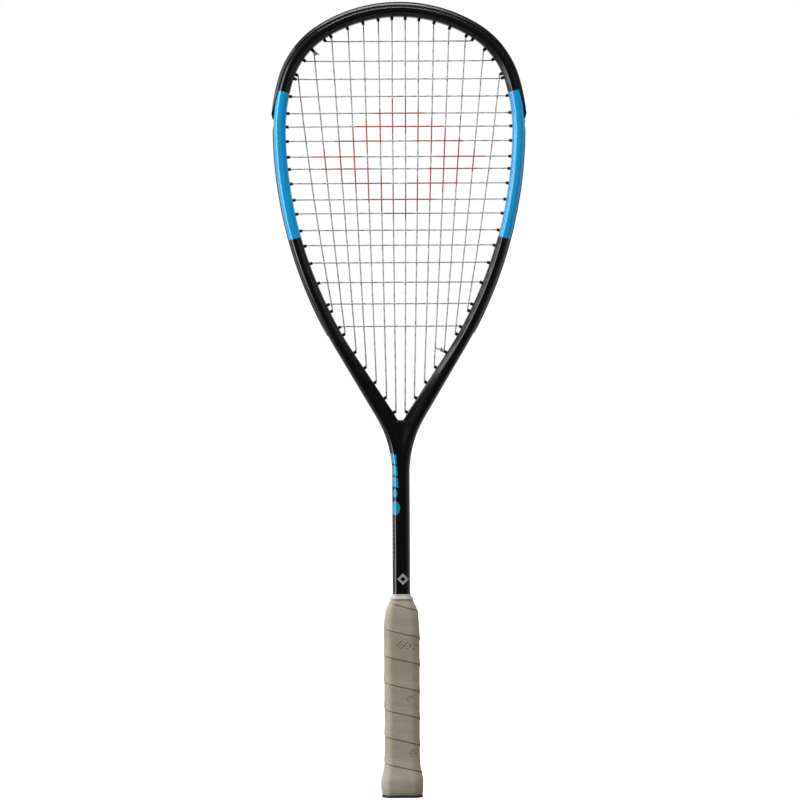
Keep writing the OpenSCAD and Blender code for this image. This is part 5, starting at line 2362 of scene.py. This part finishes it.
        links.new(spot.outputs["Generated"], axes.inputs["Vector"])
        links.new(axes.outputs["Y"], forward.inputs["Value"])
        links.new(forward.outputs["Result"], room.inputs["Strength"])
        links.new(ray.outputs["Is Camera Ray"], chosen.inputs[0])
        links.new(ray.outputs["Is Diffuse Ray"], matt.inputs[0])
        links.new(room.outputs["Background"], matt.inputs[1])
        links.new(soft.outputs["Background"], matt.inputs[2])
        links.new(matt.outputs["Shader"], chosen.inputs[1])
        links.new(backdrop.outputs["Background"], chosen.inputs[2])
        links.new(chosen.outputs["Shader"], out.inputs["Surface"])

    def camera(self) -> None:
        """Set up the camera straight in front of the racket, turned slightly about its line of sight."""
        data = bpy.data.cameras.new("front_camera")
        data.sensor_width = 36.0
        data.lens = data.sensor_width * self.distance / (self.racket_length * self.margin)
        data.clip_end = 60.0
        camera = bpy.data.objects.new("front_camera", data)
        camera.location = self.middle + self.aim + Vector((0, -self.distance, 0))
        camera.rotation_euler = (math.pi / 2, self.lean, 0)
        bpy.context.scene.collection.objects.link(camera)
        bpy.context.scene.camera = camera

    def build(self, low: float) -> None:
        """Set up the whole studio.

        Args:
            low: Height of the table top.
        """
        self.table(low)
        self.lights()
        self.surroundings()
        self.camera()
        bpy.context.scene.view_settings.view_transform = "Standard"
        log.info("studio set round the racket")


def dress(node: str, finish: bpy.types.Material) -> None:
    """Give the carried-over solids of one node their finish.

    Args:
        node: Name of the node.
        finish: Material for every slot of its objects.
    """
    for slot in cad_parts[node].material_slots:
        slot.material = finish
    log.info("dressed %s", node)


def main() -> None:
    """Build the racket piece by piece, then the studio."""
    logging.basicConfig(level=logging.INFO, format="%(message)s")
    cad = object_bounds()

    black_base, black_deep = (0.0045, 0.0038, 0.0040), (0.003, 0.0025, 0.0027)
    black = Lacquer("black_lacquer", black_base, black_deep, 0.27, 0.3, 0.12, marked=True)
    blue = Lacquer("blue_lacquer", (0.0004, 0.34, 0.76), (0.0004, 0.30, 0.70), 0.22, 0.55, 0.08)
    guard = Moulding("guard_nylon", (0.006, 0.0055, 0.0055), (0.04, 0.04, 0.042), 0.30)
    cap_rubber = Moulding("cap_rubber", (0.018, 0.017, 0.017), (0.06, 0.055, 0.05), 0.55, 0.0006)
    foam = Moulding("pallet_foam", (0.30, 0.25, 0.17), (0.42, 0.36, 0.26), 0.85, 0.0012, 0.0002)
    string = Multifilament("string_multifilament")
    leather = Leather("grip_leather", (0.45, 0.40, 0.315), (0.385, 0.335, 0.26), 0.66)
    tape_cloth = Leather("finishing_tape", (0.56, 0.52, 0.45), (0.49, 0.45, 0.385), 0.55, 2200.0, 0.00004)
    steel = BrushedMetal("staple_steel")

    hoop = Hoop(Outline(top=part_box("frame")[1].z))
    place(MouldedFrame(hoop).build([black.material(), blue.material()]), "lacquered_carbon", "frame")

    guard_finish = guard.material()
    crown, feet, sides = hoop.crown_grommets(), hoop.foot_grommets(), hoop.side_grommets()
    guard_end = BumperGuard.end_height
    under_guard = [grommet for grommet in sides if grommet.rim.z > guard_end]
    beside = [grommet for grommet in sides if grommet.rim.z <= guard_end] + [feet[-1]]
    place(BumperGuard(hoop).build(crown + under_guard, guard_finish), "guard_nylon", "bumper_guard")
    for side in Side:
        hand = side.name.lower()
        strip = SideStrip(hoop).mould(f"side_strip_moulding_{hand}", side, beside, guard_finish)
        place(strip, "guard_nylon", f"side_strip_{hand}")
        strip = ThroatStrip(hoop).mould(f"throat_strip_moulding_{hand}", side, feet[:-1], guard_finish)
        place(strip, "guard_nylon", f"throat_strip_{hand}")

    bed = StringBed(hoop)
    string_finish = string.material()
    place(bed.build("laced_mains", bed.mains(), string_finish), "string", "main_string")
    place(bed.build("woven_crosses", bed.crosses(), string_finish), "string", "cross_string")
    place(TieOffKnots(bed).build(string_finish), "string", "tie_off_knots")

    form = Handle()
    trim = HandleTrim(form)
    place(WrappedGrip(form).build(leather.material()), "grip_leather", "grip_wrap")
    place(trim.tape(tape_cloth.material()), "finishing_tape", "finishing_tape")
    place(trim.cap(cap_rubber.material()), "butt_cap", "butt_cap")
    dress("handle_pallet", foam.material())
    dress("butt_staples", steel.material())

    low, high = cad
    Studio(Vector((0, 0, (low[2] + high[2]) / 2)), high[2] - low[2]).build(low[2])


if __name__ == "__main__":
    main()
